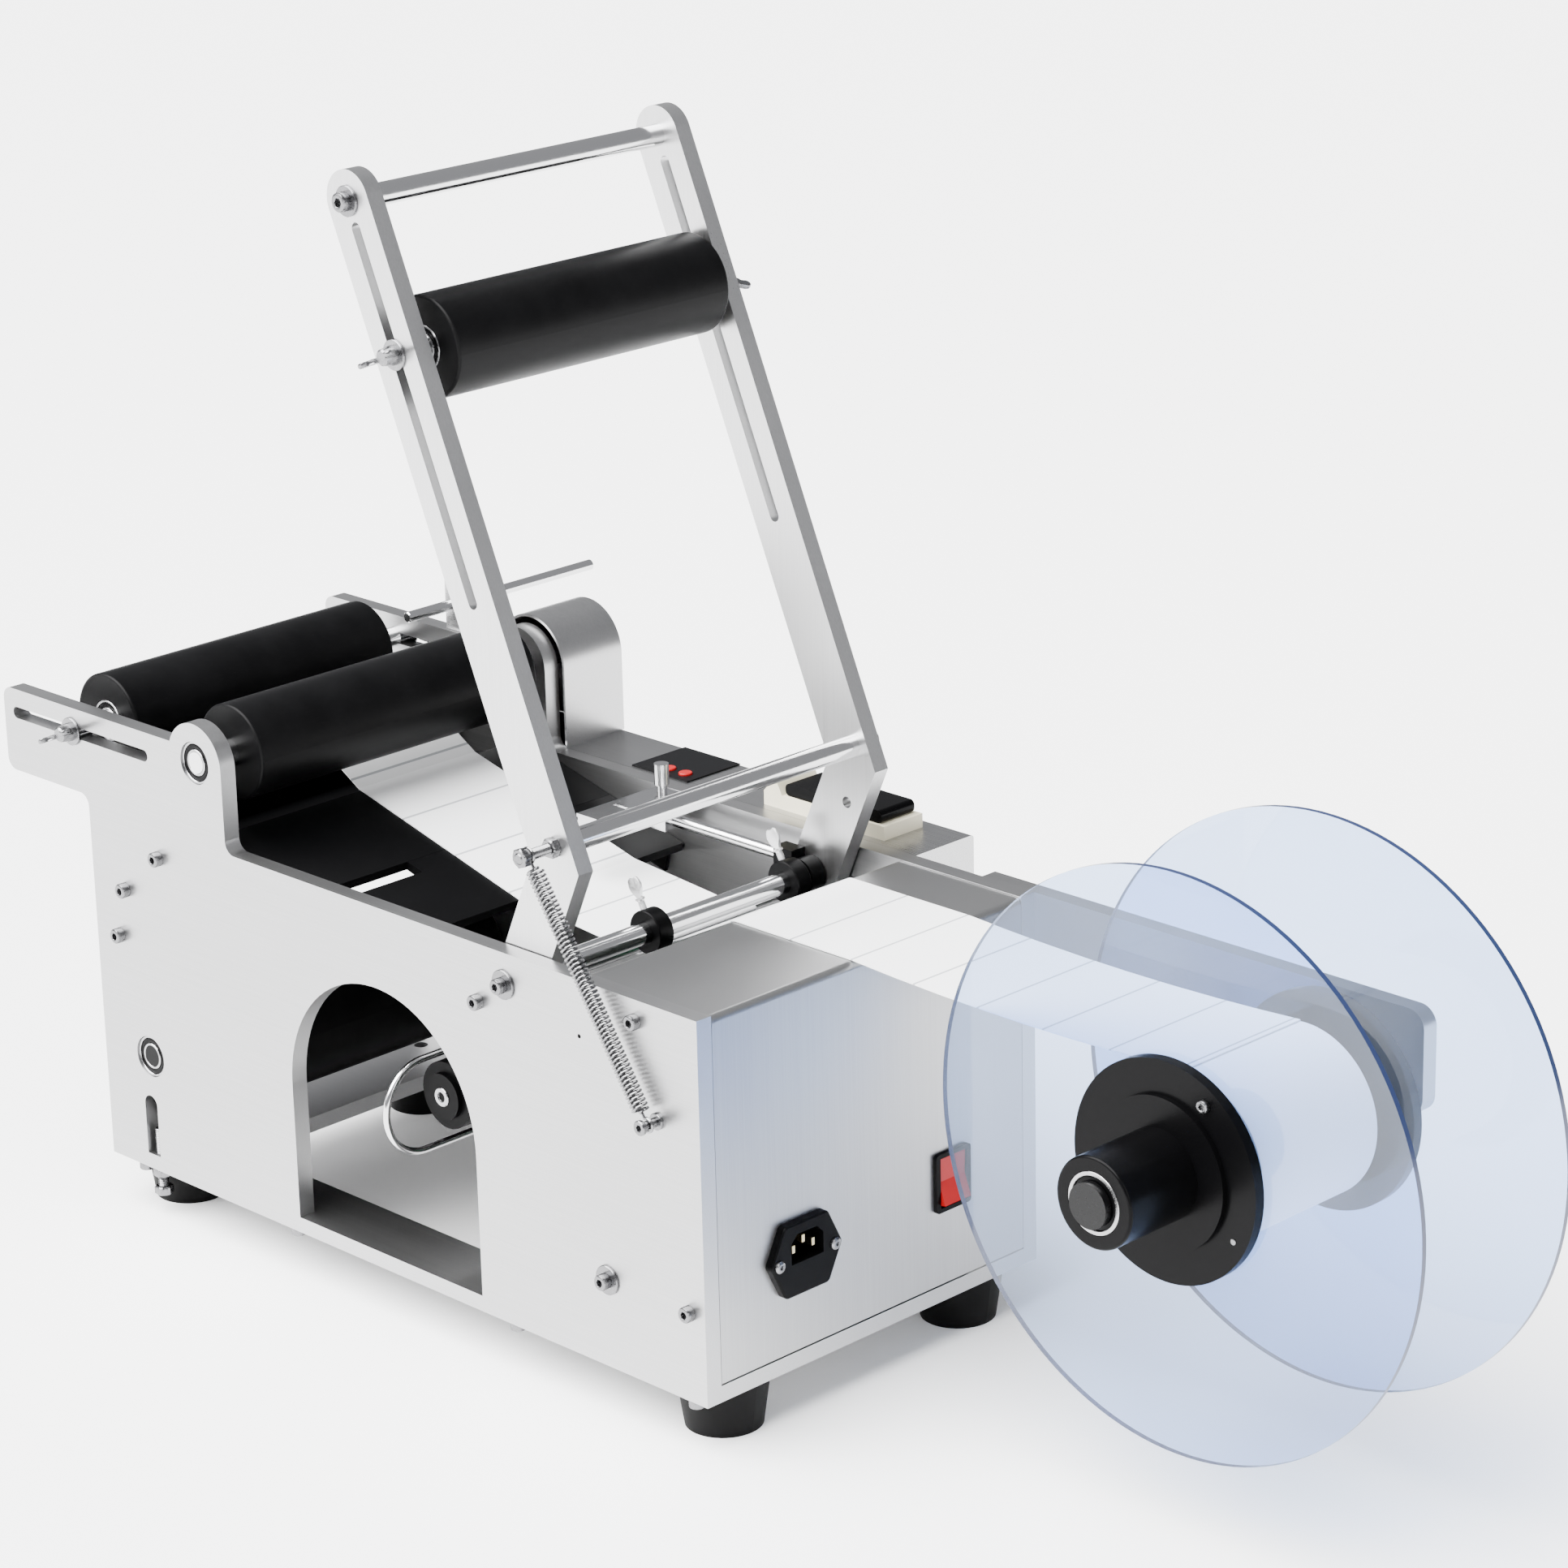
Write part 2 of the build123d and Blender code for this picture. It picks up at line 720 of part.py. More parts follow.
# Peel plate: the thin edge that the labels come off, with flanges screwed to the side plates
peel_left = Vector(*side(peel_left_back, peel_left_up))
peel_right = Vector(*side(peel_right_back, peel_right_up))
peel_way = (peel_right - peel_left).normalized()
peel_down = Vector(peel_way.Y, -peel_way.X)
with BuildPart() as peel_plate:
    with BuildSketch(facing(near_seat)):
        with BuildLine():
            Polyline(
                peel_left, peel_right, peel_right + peel_down * peel_thickness,
                peel_left + peel_way * 2 * peel_thickness + peel_down * peel_thickness, close=True,
            )
        make_face()
    extrude(amount=near_seat - far_seat)
    for y in (near_seat, far_seat - peel_flange_thickness):
        with BuildSketch(facing(y)):
            with BuildLine():
                Polyline(
                    peel_left + peel_way * 40 + peel_down * 2, peel_right - peel_way * 8 + peel_down * 2,
                    peel_right - peel_way * 8 + peel_down * peel_flange_depth,
                    peel_left + peel_way * 40 + peel_down * peel_flange_depth, close=True,
                )
            make_face()
        extrude(amount=-peel_flange_thickness)
save(peel_plate.part, "peel_plate")

# Pivot shaft of the arms, which also carries the label guides
with BuildPart() as pivot_shaft:
    bar(pivot_at, pivot_radius, near_seat, far_seat)
    for y, inward in ((near_seat, 1), (far_seat, -1)):
        low, high = sorted((y - inward, y + inward * screw_grip))
        bar(pivot_at, screw_radius + hole_fit, low, high, mode=Mode.SUBTRACT)
save(pivot_shaft.part, "pivot_shaft")

# Tie bars: the web guide bar, on which the arms also rest, and a lower tie rod
with BuildPart() as tie_bars:
    for place, radius in ((guide_bar_at, guide_bar_radius), (tie_rod_at, tie_rod_radius)):
        bar(place, radius, near_seat, far_seat)
        bar(place, screw_radius + hole_fit, near_seat - 1, near_seat + screw_grip, mode=Mode.SUBTRACT)
        bar(place, screw_radius + hole_fit, far_seat - screw_grip, far_seat + 1, mode=Mode.SUBTRACT)
save(tie_bars.part, "tie_bars")

# Set rings that hold the arms sideways on the pivot shaft; the far one carries the sensor rail
with BuildPart() as set_rings:
    for y, width in (
        (arm_inner_near + side_gap, set_ring_width), (arm_inner_far - side_gap - far_ring_width, far_ring_width),
    ):
        bar(pivot_at, set_ring_radius, y, y + width)
        if width == far_ring_width:
            block(
                (pivot_at[0] - 2 * set_ring_radius, pivot_at[0] - pivot_radius),
                (y, y + width),
                (base_top + rail_up - 1.7 * rail_radius, base_top + rail_up + 1.7 * rail_radius),
            )
            rail_mouth = (pivot_at[0] - 2 * set_ring_radius - 1, y + width / 2, base_top + rail_up)
            with Locations(Location(rail_mouth, (0, 90, 0))):
                Cylinder(rail_radius + seat_fit, rail_seat + 1 + face_gap, align=standing, mode=Mode.SUBTRACT)
        bar(pivot_at, pivot_radius + seat_fit, y, y + width, mode=Mode.SUBTRACT)
save(set_rings.part, "set_rings")

# Bearings pressed into the side plates
plate_bearing = ring_bearing(bearing_radius, axle_radius + running_fit, bearing_width)
bearing_inset = (plate_thickness - bearing_width) / 2
with BuildPart() as plate_bearings:
    for place in (drive_at, traction_at):
        with Locations(towards_y(place, near_face + bearing_inset), towards_y(place, far_wall + bearing_inset)):
            add(plate_bearing)
    with Locations(towards_y(rewind_at, far_wall + bearing_inset)):
        add(plate_bearing)
save(plate_bearings.part, "plate_bearings")

# Cap screws of the frame, and the stud that anchors the return spring
plate_screw = cap_screw(screw_radius, plate_thickness + screw_grip - 1)
cover_screw = cap_screw(screw_radius, plate_thickness + 2)
washer_screw = cap_screw(screw_radius, plate_thickness + screw_grip - 1, washer_thickness)
base_screw = cap_screw(screw_radius, base_thickness + screw_grip - 1)
reel_arm_screw = cap_screw(screw_radius, reel_arm_thickness + plate_thickness - 1)
anchor_end = near_face - 2 * spring_stand_off + 2
with BuildPart() as frame_screws:
    bar(anchor_at, anchor_radius, anchor_end, near_wall - 1)
    bar(anchor_at, anchor_radius * 1.8, near_face - 1.8, near_face)
    bar(anchor_at, anchor_radius * 1.6, anchor_end - 1.2, anchor_end + 1.2)
    for screw, places in (
        (plate_screw, cross_screws + [guide_bar_at]), (cover_screw, cover_screws), (washer_screw, washer_screws),
    ):
        for place in places:
            with Locations(towards_operator(place, near_face), towards_y(place, far_face)):
                add(screw)
    with Locations(*[Location((x, y, foot_height), (180, 0, 0)) for x, y in base_screw_places]):
        add(base_screw)
    for place in reel_arm_screws:
        with Locations(towards_y(place, far_face + reel_arm_thickness)):
            add(reel_arm_screw)
    for y in inlet_screw_ys:
        with Locations(Location((end_x + inlet_flange_thickness, y, inlet_z), (0, 90, 0))):
            Cylinder(inlet_screw_head, inlet_screw_radius, align=standing)
            Cylinder(inlet_screw_radius, 2 * inlet_flange_thickness, align=hanging)
save(frame_screws.part, "frame_screws")

# Screws and nuts under the base that set the traction roller's height
with BuildPart() as hex_nut:
    with BuildSketch():
        RegularPolygon(nut_radius, 6)
    extrude(amount=nut_height)
with BuildPart() as adjusting_screws:
    for x, y in adjuster_places:
        with Locations((x, y, foot_height - adjuster_drop)):
            Cylinder(adjuster_radius, adjuster_length, align=standing)
            add(hex_nut.part)
        with Locations((x, y, foot_height - nut_height)):
            add(hex_nut.part)
save(adjusting_screws.part, "adjusting_screws")

# Drive box: a sheet housing over the belt drive, open towards the far side plate
box_near = far_face + face_gap
box_far = far_face + box_depth
box_x = (end_x - box_left_back, end_x - box_right_back)
box_z = (base_top + box_bottom_up, plate_top)
cover_x = (drive_at[0] - belt_cover_radius, drive_at[0] + belt_cover_radius)
button_y = far_face + button_from_far
button_places = [(end_x - button_back + k * button_spacing, button_y) for k in (0, 1)]
with BuildPart() as drive_box:
    block(box_x, (box_near, box_far), box_z)
    fillet(drive_box.edges().filter_by(Axis.X).group_by(Axis.Y)[-1], 2.0)
    block(
        (box_x[0] + box_wall, box_x[1] - box_wall), (box_near, box_far - box_wall),
        (box_z[0] + box_wall, box_z[1] - box_wall), mode=Mode.SUBTRACT,
    )
    block(
        (cover_x[0] + box_wall, cover_x[1] - box_wall), (box_near, box_far - 2 * box_wall),
        (plate_top - 5, plate_top + 1), mode=Mode.SUBTRACT,
    )
    with Locations(*[(x, y, plate_top) for x, y in button_places]):
        Cylinder(button_radius + side_gap, 3 * box_wall, mode=Mode.SUBTRACT)
save(drive_box.part, "drive_box")

# Belt cover: the round-topped hood over the drive roller's pulley
with BuildPart() as belt_cover:
    for shrink, y_to, mode in ((0, box_far, Mode.ADD), (box_wall, box_far - box_wall, Mode.SUBTRACT)):
        with BuildSketch(facing(box_near)):
            with Locations(drive_at):
                Circle(belt_cover_radius - shrink)
                Rectangle(2 * (belt_cover_radius - shrink), drive_at[1] - plate_top, align=(Align.CENTER, Align.MAX))
        extrude(amount=box_near - y_to, mode=mode)
save(belt_cover.part, "belt_cover")

overlay_x = (end_x - overlay_left_back, end_x - overlay_left_back + overlay_length)
with BuildPart() as control_overlay:
    block(overlay_x, (box_near + 2, box_far - 1), (plate_top, plate_top + overlay_thickness))
    with Locations(*[(x, y, plate_top) for x, y in button_places]):
        Cylinder(button_radius + side_gap, 3, mode=Mode.SUBTRACT)
save(control_overlay.part, "control_overlay")

for name, (x, y) in zip(("start_button", "reset_button"), button_places):
    with BuildPart() as button:
        with Locations((x, y, plate_top - 3 * box_wall)):
            Cylinder(button_radius, 3 * box_wall + button_proud, align=standing)
        fillet(button.edges().group_by(Axis.Z)[-1], 0.8)
        with Locations((x, y, plate_top - 3 * box_wall)):
            Cylinder(button_radius + 1.5, box_wall, align=standing)
    save(button.part, name)

# Label counter on the drive box
counter_x = end_x - counter_left_back
counter_y = (box_near + box_far) / 2 - 2
with BuildPart() as counter_base:
    block(
        (counter_x, counter_x + counter_length), (counter_y - counter_width / 2, counter_y + counter_width / 2),
        (plate_top, plate_top + counter_height),
    )
    with BuildSketch(facing(counter_y - counter_width / 2)):
        with BuildLine():
            Polyline(
                (counter_x, plate_top + counter_height), (counter_x + 14, plate_top + counter_height),
                (counter_x + 9, plate_top + 2.2 * counter_height), close=True,
            )
        make_face()
    extrude(amount=-counter_width)
save(counter_base.part, "counter_base")

with BuildPart() as counter_window:
    block(
        (counter_x + 15, counter_x + counter_length - 4), (counter_y - counter_width / 2 + 2, counter_y + counter_width / 2 - 2),
        (plate_top + counter_height, plate_top + 1.9 * counter_height),
    )
    fillet(counter_window.edges().filter_by(Axis.Y), 3.0)
save(counter_window.part, "counter_window")


def grooved_pulley(place, radius, y):
    """Belt pulley with two flanges, in the piece that is being made."""
    bar(place, radius, y, y + pulley_width)
    for flange_y in (y, y + pulley_width - 1.0):
        bar(place, radius + pulley_flange, flange_y, flange_y + 1.0)


# Flat motor on the outside of the far plate, its double pulley and the two belts
with BuildPart() as motor:
    with BuildSketch(facing(far_face + motor_mount_gap)):
        with Locations(motor_at):
            RectangleRounded(motor_size, motor_size, 4.0)
    extrude(amount=-motor_length)
    bar(motor_at, motor_shaft_radius + side_gap, far_face + motor_length / 2, far_face + 2 * motor_length, mode=Mode.SUBTRACT)
save(motor.part, "motor")

with BuildPart() as motor_pulley:
    bar(motor_at, motor_shaft_radius, far_face + motor_length / 2 + side_gap, pulley_y)
    grooved_pulley(motor_at, motor_pulley_radius, pulley_y)
    grooved_pulley(motor_at, motor_pulley_radius, liner_pulley_y)
save(motor_pulley.part, "motor_pulley")

drive_loop = ((motor_at, motor_pulley_radius), (drive_at, drive_pulley_radius))
liner_loop = (
    (motor_at, motor_pulley_radius), (traction_at, traction_pulley_radius), (rewind_at, rewind_pulley_radius),
)
belt_width = pulley_width - 2 - 2 * side_gap
with BuildPart() as drive_belts:
    for loop, y in ((drive_loop, pulley_y), (liner_loop, liner_pulley_y)):
        for grow, mode in ((belt_gap + belt_thickness, Mode.ADD), (belt_gap, Mode.SUBTRACT)):
            with BuildSketch(facing(y + 1.0 + side_gap)):
                for place, radius in loop:
                    with Locations(place):
                        Circle(radius + grow)
                make_hull()
            extrude(amount=-belt_width, mode=mode)
save(drive_belts.part, "drive_belts")

# Drive roller, its shaft and pulley
with BuildPart() as drive_roller:
    roller_y = near_face + drive_roller_start
    bar(drive_at, roller_radius, roller_y, roller_y + drive_roller_length)
    fillet(drive_roller.edges(), 1.5)
    bar(drive_at, drive_core_radius + seat_fit, roller_y, roller_y + drive_roller_length, mode=Mode.SUBTRACT)
save(drive_roller.part, "drive_roller")

with BuildPart() as drive_shaft:
    bar(drive_at, axle_radius, near_face + bearing_inset, pulley_y)
    bar(drive_at, drive_core_radius, near_wall + face_gap, far_wall - face_gap)
    grooved_pulley(drive_at, drive_pulley_radius, pulley_y)
save(drive_shaft.part, "drive_shaft")

# Traction roller that pulls the liner
with BuildPart() as traction_roller:
    bar(traction_at, traction_radius, near_wall + traction_end_gap, far_wall - traction_end_gap)
    fillet(traction_roller.edges(), 1.5)
    bar(traction_at, axle_radius, near_face + bearing_inset, liner_pulley_y)
    grooved_pulley(traction_at, traction_pulley_radius, liner_pulley_y)
save(traction_roller.part, "traction_roller")

# Rewind spindle for the waste liner, with a slipping clutch in its pulley
rewind_flange_y = far_wall - rewind_flange_gap
with BuildPart() as rewind_spindle:
    bar(rewind_at, rewind_boss_radius, near_face + rewind_start - 3, near_face + rewind_start)
    bar(rewind_at, rewind_radius, near_face + rewind_start, rewind_flange_y)
    bar(rewind_at, rewind_flange_radius, rewind_flange_y, rewind_flange_y + rewind_flange_thickness)
    bar(rewind_at, axle_radius, rewind_flange_y, liner_pulley_y)
    grooved_pulley(rewind_at, rewind_pulley_radius, liner_pulley_y)
    for dz in (-clip_half_width, clip_half_width):
        place = (rewind_at[0], rewind_at[1] + dz)
        bar(place, clip_wire_radius + seat_fit, rewind_flange_y, rewind_flange_y + rewind_flange_thickness, mode=Mode.SUBTRACT)
save(rewind_spindle.part, "rewind_spindle")

clip_y = near_face + clip_bend_start
clip_end = rewind_flange_y + rewind_flange_thickness - face_gap
with BuildPart() as wire_clip:
    with BuildLine() as clip_path:
        upper = (rewind_at[0], clip_end, rewind_at[1] + clip_half_width)
        upper_bend = (rewind_at[0], clip_y, rewind_at[1] + clip_half_width)
        nose = (rewind_at[0], clip_y - clip_half_width, rewind_at[1])
        lower_bend = (rewind_at[0], clip_y, rewind_at[1] - clip_half_width)
        lower = (rewind_at[0], clip_end, rewind_at[1] - clip_half_width)
        Line(upper, upper_bend)
        ThreePointArc(upper_bend, nose, lower_bend)
        Line(lower_bend, lower)
    with BuildSketch(Plane(origin=upper, z_dir=(0, -1, 0))):
        Circle(clip_wire_radius)
    sweep()
save(wire_clip.part, "wire_clip")

# Arms: slotted upper bars, a mitred knee and a leg on the pivot shaft
arm_top = Vector(*side(arm_top_back, arm_top_up))
arm_knee = Vector(*side(knee_back, knee_up))
arm_pivot = Vector(*pivot_at)
bar_way = (arm_top - arm_knee).normalized()
leg_way = (arm_pivot - arm_knee).normalized()
half_arm = arm_width / 2
mitre = (bar_way + leg_way) * (half_arm / abs(bar_way.cross(leg_way).Z))
bar_left = Vector(-bar_way.Y, bar_way.X) * half_arm
leg_left = Vector(leg_way.Y, -leg_way.X) * half_arm
stop_from_leg = (Vector(*guide_bar_at) - arm_pivot).dot(leg_left.normalized())
tail_left = leg_left.normalized() * (stop_from_leg - guide_bar_radius - side_gap)
slot_from = arm_top - bar_way * arm_slot_start
slot_to = arm_top - bar_way * arm_slot_end
slot_turn = math.degrees(math.atan2(bar_way.Y, bar_way.X))
lower_bar_at = side(lower_bar_back, lower_bar_up)
for name, y in (("arm_near", near_arm_y), ("arm_far", far_arm_y)):
    with BuildPart() as arm:
        with BuildSketch(facing(y)):
            with BuildLine():
                over_top = ThreePointArc(arm_top - bar_left, arm_top + bar_way * half_arm, arm_top + bar_left)
                Polyline(over_top @ 1, arm_knee + mitre, arm_pivot + leg_left)
                under = ThreePointArc(arm_pivot + leg_left, arm_pivot + leg_way * half_arm, arm_pivot - leg_left)
                Polyline(under @ 1, arm_knee - mitre, over_top @ 0)
            make_face()
            with BuildLine():
                Polyline(
                    arm_pivot - leg_left, arm_pivot - leg_left + leg_way * arm_tail_length,
                    arm_pivot + tail_left + leg_way * arm_tail_length, arm_pivot + tail_left, close=True,
                )
            make_face()
            with Locations(Location((slot_from + slot_to) * 0.5, slot_turn)):
                SlotOverall(arm_slot_end - arm_slot_start, arm_slot_width, mode=Mode.SUBTRACT)
            with Locations(pivot_at):
                Circle(pivot_radius + running_fit, mode=Mode.SUBTRACT)
            with Locations(arm_top, lower_bar_at):
                Circle(stud_radius + hole_fit, mode=Mode.SUBTRACT)
            with Locations(side(leg_hole_back, leg_hole_up)):
                Circle(leg_hole_radius, mode=Mode.SUBTRACT)
        extrude(amount=-arm_thickness)
    save(arm.part, name)

# Cross bars between the arms
with BuildPart() as arm_bars:
    for place in (tuple(arm_top)[:2], lower_bar_at):
        bar(place, arm_bar_radius, arm_inner_near, arm_inner_far)
        bar(place, stud_radius + hole_fit, arm_inner_near, arm_inner_near + screw_grip, mode=Mode.SUBTRACT)
        bar(place, stud_radius + hole_fit, arm_inner_far - screw_grip, arm_inner_far, mode=Mode.SUBTRACT)
save(arm_bars.part, "arm_bars")

# Screws of the cross bars and, at the lower one, the stud that the return spring pulls
stud_end = near_face - 2 * spring_stand_off
arm_screw = cap_screw(stud_radius, arm_thickness + screw_grip - 1, washer_thickness)
with BuildPart() as arm_screws:
    with Locations(towards_operator(tuple(arm_top)[:2], near_arm_y)):
        add(arm_screw)
    for place in (tuple(arm_top)[:2], lower_bar_at):
        with Locations(towards_y(place, far_arm_y + arm_thickness)):
            add(arm_screw)
    bar(lower_bar_at, stud_radius, stud_end, arm_inner_near + screw_grip - 1)
    with Locations(towards_operator(lower_bar_at, near_arm_y), towards_operator(lower_bar_at, stud_end + nut_height + 0.5)):
        add(hex_nut.part)
save(arm_screws.part, "arm_screws")

# Return spring: a plain body here, with an eye at each end
spring_y = near_face - spring_stand_off
spring_top = Vector(lower_bar_at[0], spring_y, lower_bar_at[1])
spring_foot = Vector(anchor_at[0], spring_y, anchor_at[1])
spring_way = (spring_foot - spring_top).normalized()
spring_length = (spring_foot - spring_top).length
with BuildPart() as spring:
    for place, hole in ((lower_bar_at, stud_radius), (anchor_at, anchor_radius)):
        eye = hole + side_gap / 2 + 2 * spring_wire_radius
        bar(place, eye, spring_y - spring_wire_radius, spring_y + spring_wire_radius)
        bar(place, eye - 2 * spring_wire_radius, spring_y - 2, spring_y + 2, mode=Mode.SUBTRACT)
    for eye_at, hole, way in ((spring_top, stud_radius, spring_way), (spring_foot, anchor_radius, -spring_way)):
        with BuildSketch(Plane(origin=eye_at + way * (hole + spring_wire_radius), z_dir=way)):
            Circle(spring_wire_radius * 0.8)
        extrude(amount=spring_neck)
    with BuildSketch(Plane(origin=spring_top + spring_way * spring_neck, z_dir=spring_way)):
        Circle(spring_radius)
    extrude(amount=spring_length - 2 * spring_neck)
save(spring.part, "spring")

# Press roller on its sliding axle, and front roller on its own
press_at = tuple(arm_top - bar_way * press_down_slot)[:2]
carriages = (
    ("press", press_at, press_roller_start, press_roller_length, arm_inner_near, arm_inner_far, near_arm_y, far_arm_y + arm_thickness),
    ("front", front_at, front_roller_start, front_roller_length, near_wall, far_wall, near_face, far_face),
)
roller_core_radius = 12.0
for name, place, start, length, axle_from, axle_to, near_seat_y, far_seat_y in carriages:
    y = near_face + start
    with BuildPart() as sleeve:
        bar(place, roller_radius, y, y + length)
        fillet(sleeve.edges(), 1.5)
        bar(place, roller_core_radius + seat_fit, y, y + length, mode=Mode.SUBTRACT)
    save(sleeve.part, f"{name}_roller")
    with BuildPart() as core:
        with Locations(towards_y(place, y)):
            add(ring_bearing(roller_core_radius, axle_radius + running_fit, length))
    save(core.part, f"{name}_core")
    with BuildPart() as axle:
        bar(place, axle_radius, axle_from + running_fit, axle_to - running_fit)
        bar(place, wing_stem_radius + seat_fit, axle_from, axle_from + wing_grip + 1, mode=Mode.SUBTRACT)
        bar(place, wing_stem_radius + seat_fit, axle_to - wing_grip - 1, axle_to, mode=Mode.SUBTRACT)
    save(axle.part, f"{name}_axle")
    clamp_screw = wing_screw()
    with BuildPart() as wings:
        with Locations(
            towards_operator(place, near_seat_y - running_fit, wing_turn),
            towards_y(place, far_seat_y + running_fit, wing_turn),
        ):
            add(clamp_screw)
    save(wings.part, f"{name}_wing_screws")

# Label guide collars with their thumb screws
for name, start in (("collar_near", near_collar_start), ("collar_far", far_collar_start)):
    y = near_face + start
    middle = Location((pivot_at[0], y + collar_width / 2, pivot_at[1]), (0, -thumb_lean, 0))
    with BuildPart() as collar:
        bar(pivot_at, collar_radius, y, y + collar_width)
        chamfer(collar.edges(), 0.6)
        with Locations(middle):
            Cylinder(thumb_screw_radius, collar_radius + thumb_screw_length, align=standing)
            with Locations((0, 0, collar_radius + thumb_screw_length / 2)):
                Box(thumb_tab_width, thumb_tab_thickness, thumb_tab_height, align=standing)
        bar(pivot_at, pivot_radius + running_fit, y, y + collar_width, mode=Mode.SUBTRACT)
    save(collar.part, name)

# Rail for the label sensor, held by the far set ring and a post on the far side plate
rail_y = arm_inner_far - side_gap - far_ring_width / 2
rail_z = base_top + rail_up
rail_x = (end_x - rail_left_back, pivot_at[0] - 2 * set_ring_radius + rail_seat)
with BuildPart() as sensor_rail:
    with Locations(Location((rail_x[0], rail_y, rail_z), (0, 90, 0))):
        Cylinder(rail_radius, rail_x[1] - rail_x[0], align=standing)
    block(
        (rail_x[0], rail_x[0] + 2 * rail_radius), (rail_y, far_wall),
        (rail_z - rail_radius, rail_z + rail_radius),
    )
save(sensor_rail.part, "sensor_rail")

# Sensor bracket on the rail, with its knurled clamp screw
sensor_x = end_x - sensor_back
sensor_near = rail_y + sensor_block_width / 2 - sensor_plate_reach
sensor_plate_z = rail_z + sensor_rise
with BuildPart() as sensor_bracket:
    block(
        (sensor_x - sensor_block_length / 2, sensor_x + sensor_block_length / 2),
        (rail_y - sensor_block_width / 2, rail_y + sensor_block_width / 2),
        (rail_z - 1.8 * rail_radius, sensor_plate_z),
    )
    with Locations(Location((sensor_x, rail_y, rail_z), (0, 90, 0))):
        Cylinder(rail_radius + running_fit, 2 * sensor_block_length, mode=Mode.SUBTRACT)
    block(
        (sensor_x - sensor_plate_width / 2, sensor_x + sensor_plate_width / 2),
        (sensor_near, rail_y + sensor_block_width / 2),
        (sensor_plate_z, sensor_plate_z + sensor_plate_thickness),
    )
    with Locations((sensor_x + 2, sensor_near + 24, sensor_plate_z)):
        Box(10, 3, 10, mode=Mode.SUBTRACT)
    block(
        (sensor_x - sensor_plate_width / 2 + 1, sensor_x + sensor_plate_width / 2 - 1),
        (sensor_near, sensor_near + 12),
        (sensor_plate_z - 12, sensor_plate_z),
    )
    with Locations((sensor_x, rail_y, sensor_plate_z + sensor_plate_thickness)):
        Cylinder(knob_radius * 0.7, knob_height / 3, align=standing)
    with Locations((sensor_x, rail_y, sensor_plate_z + sensor_plate_thickness + knob_height / 3)):
        Cylinder(knob_radius, knob_height, align=standing)
save(sensor_bracket.part, "sensor_bracket")

# Bottle stop: a rod that slides in a block on the far ear
stop_x = end_x - stop_back
stop_at = side(stop_back, stop_up)
stop_block_y = far_wall + 2
stop_block_z = base_top + ear_top_up
with BuildPart() as stop_block:
    block(
        (stop_x - stop_block_length / 2, stop_x + stop_block_length / 2),
        (stop_block_y, stop_block_y + stop_block_width),
        (stop_block_z, stop_block_z + stop_block_height),
    )
    chamfer(stop_block.edges().filter_by(Axis.Y), 1.0)
    bar(stop_at, stop_rod_radius + running_fit, far_wall, far_wall + 2 * stop_block_width, mode=Mode.SUBTRACT)
    with Locations((stop_x, stop_block_y + stop_block_width / 2, stop_block_z + stop_block_height)):
        Cylinder(screw_head_radius, screw_head_height, align=standing)
save(stop_block.part, "stop_block")

with BuildPart() as stop_rod:
    bar(stop_at, stop_rod_radius, near_face + stop_rod_inner, near_face + stop_rod_reach)
    chamfer(stop_rod.edges(), 0.6)
save(stop_rod.part, "stop_rod")

# Reel arm, bolted to the outside of the far side plate
with BuildPart() as reel_arm:
    with BuildSketch(facing(far_face)):
        with Locations((end_x - reel_arm_left_back, base_top + reel_arm_top_up - reel_arm_height)):
            Rectangle(reel_arm_left_back + reel_arm_reach, reel_arm_height, align=(Align.MIN, Align.MIN))
        right_corners = vertices().group_by(Axis.X)[-1]
        fillet(right_corners, reel_arm_corner)
        with Locations(*reel_arm_screws):
            Circle(screw_radius + hole_fit, mode=Mode.SUBTRACT)
        with Locations(reel_at):
            Circle(spindle_radius + seat_fit, mode=Mode.SUBTRACT)
    extrude(amount=-reel_arm_thickness)
save(reel_arm.part, "reel_arm")

# Spindle of the label reel with its end cap and its shoulder at the reel arm
hub_near = near_face + hub_nose_start
hub_far = near_face + far_disc_start + disc_thickness + hub_flange_thickness
with BuildPart() as reel_spindle:
    bar(reel_at, spindle_radius, hub_near - 1, far_face + reel_arm_thickness + 1)
    bar(reel_at, spindle_cap_radius, hub_near - spindle_cap_height - side_gap, hub_near - side_gap)
    bar(reel_at, spindle_shoulder_radius, hub_far + side_gap, far_face)
    bar(reel_at, spindle_shoulder_radius, far_face + reel_arm_thickness, far_face + reel_arm_thickness + 5)
save(reel_spindle.part, "reel_spindle")

# Reel hub: nose, near flange with a raised ring, tube and far flange
flange_y = near_face + near_disc_start - hub_flange_thickness
with BuildPart() as reel_hub:
    bar(reel_at, hub_nose_radius, hub_near, flange_y)
    fillet(reel_hub.edges().group_by(Axis.Y)[0], 1.5)
    bar(reel_at, hub_ring_radius, flange_y - hub_ring_height, flange_y)
    bar(reel_at, hub_flange_radius, flange_y, flange_y + hub_flange_thickness)
    bar(reel_at, hub_tube_radius, flange_y, hub_far - 1)
    bar(reel_at, hub_flange_radius, hub_far - hub_flange_thickness, hub_far)
    bar(reel_at, hub_bore_radius, hub_near, hub_far, mode=Mode.SUBTRACT)
    bar(reel_at, hub_bearing_radius + seat_fit, hub_near, hub_near + hub_bearing_width, mode=Mode.SUBTRACT)
    bar(reel_at, hub_bearing_radius + seat_fit, hub_far - hub_bearing_width, hub_far, mode=Mode.SUBTRACT)
save(reel_hub.part, "reel_hub")

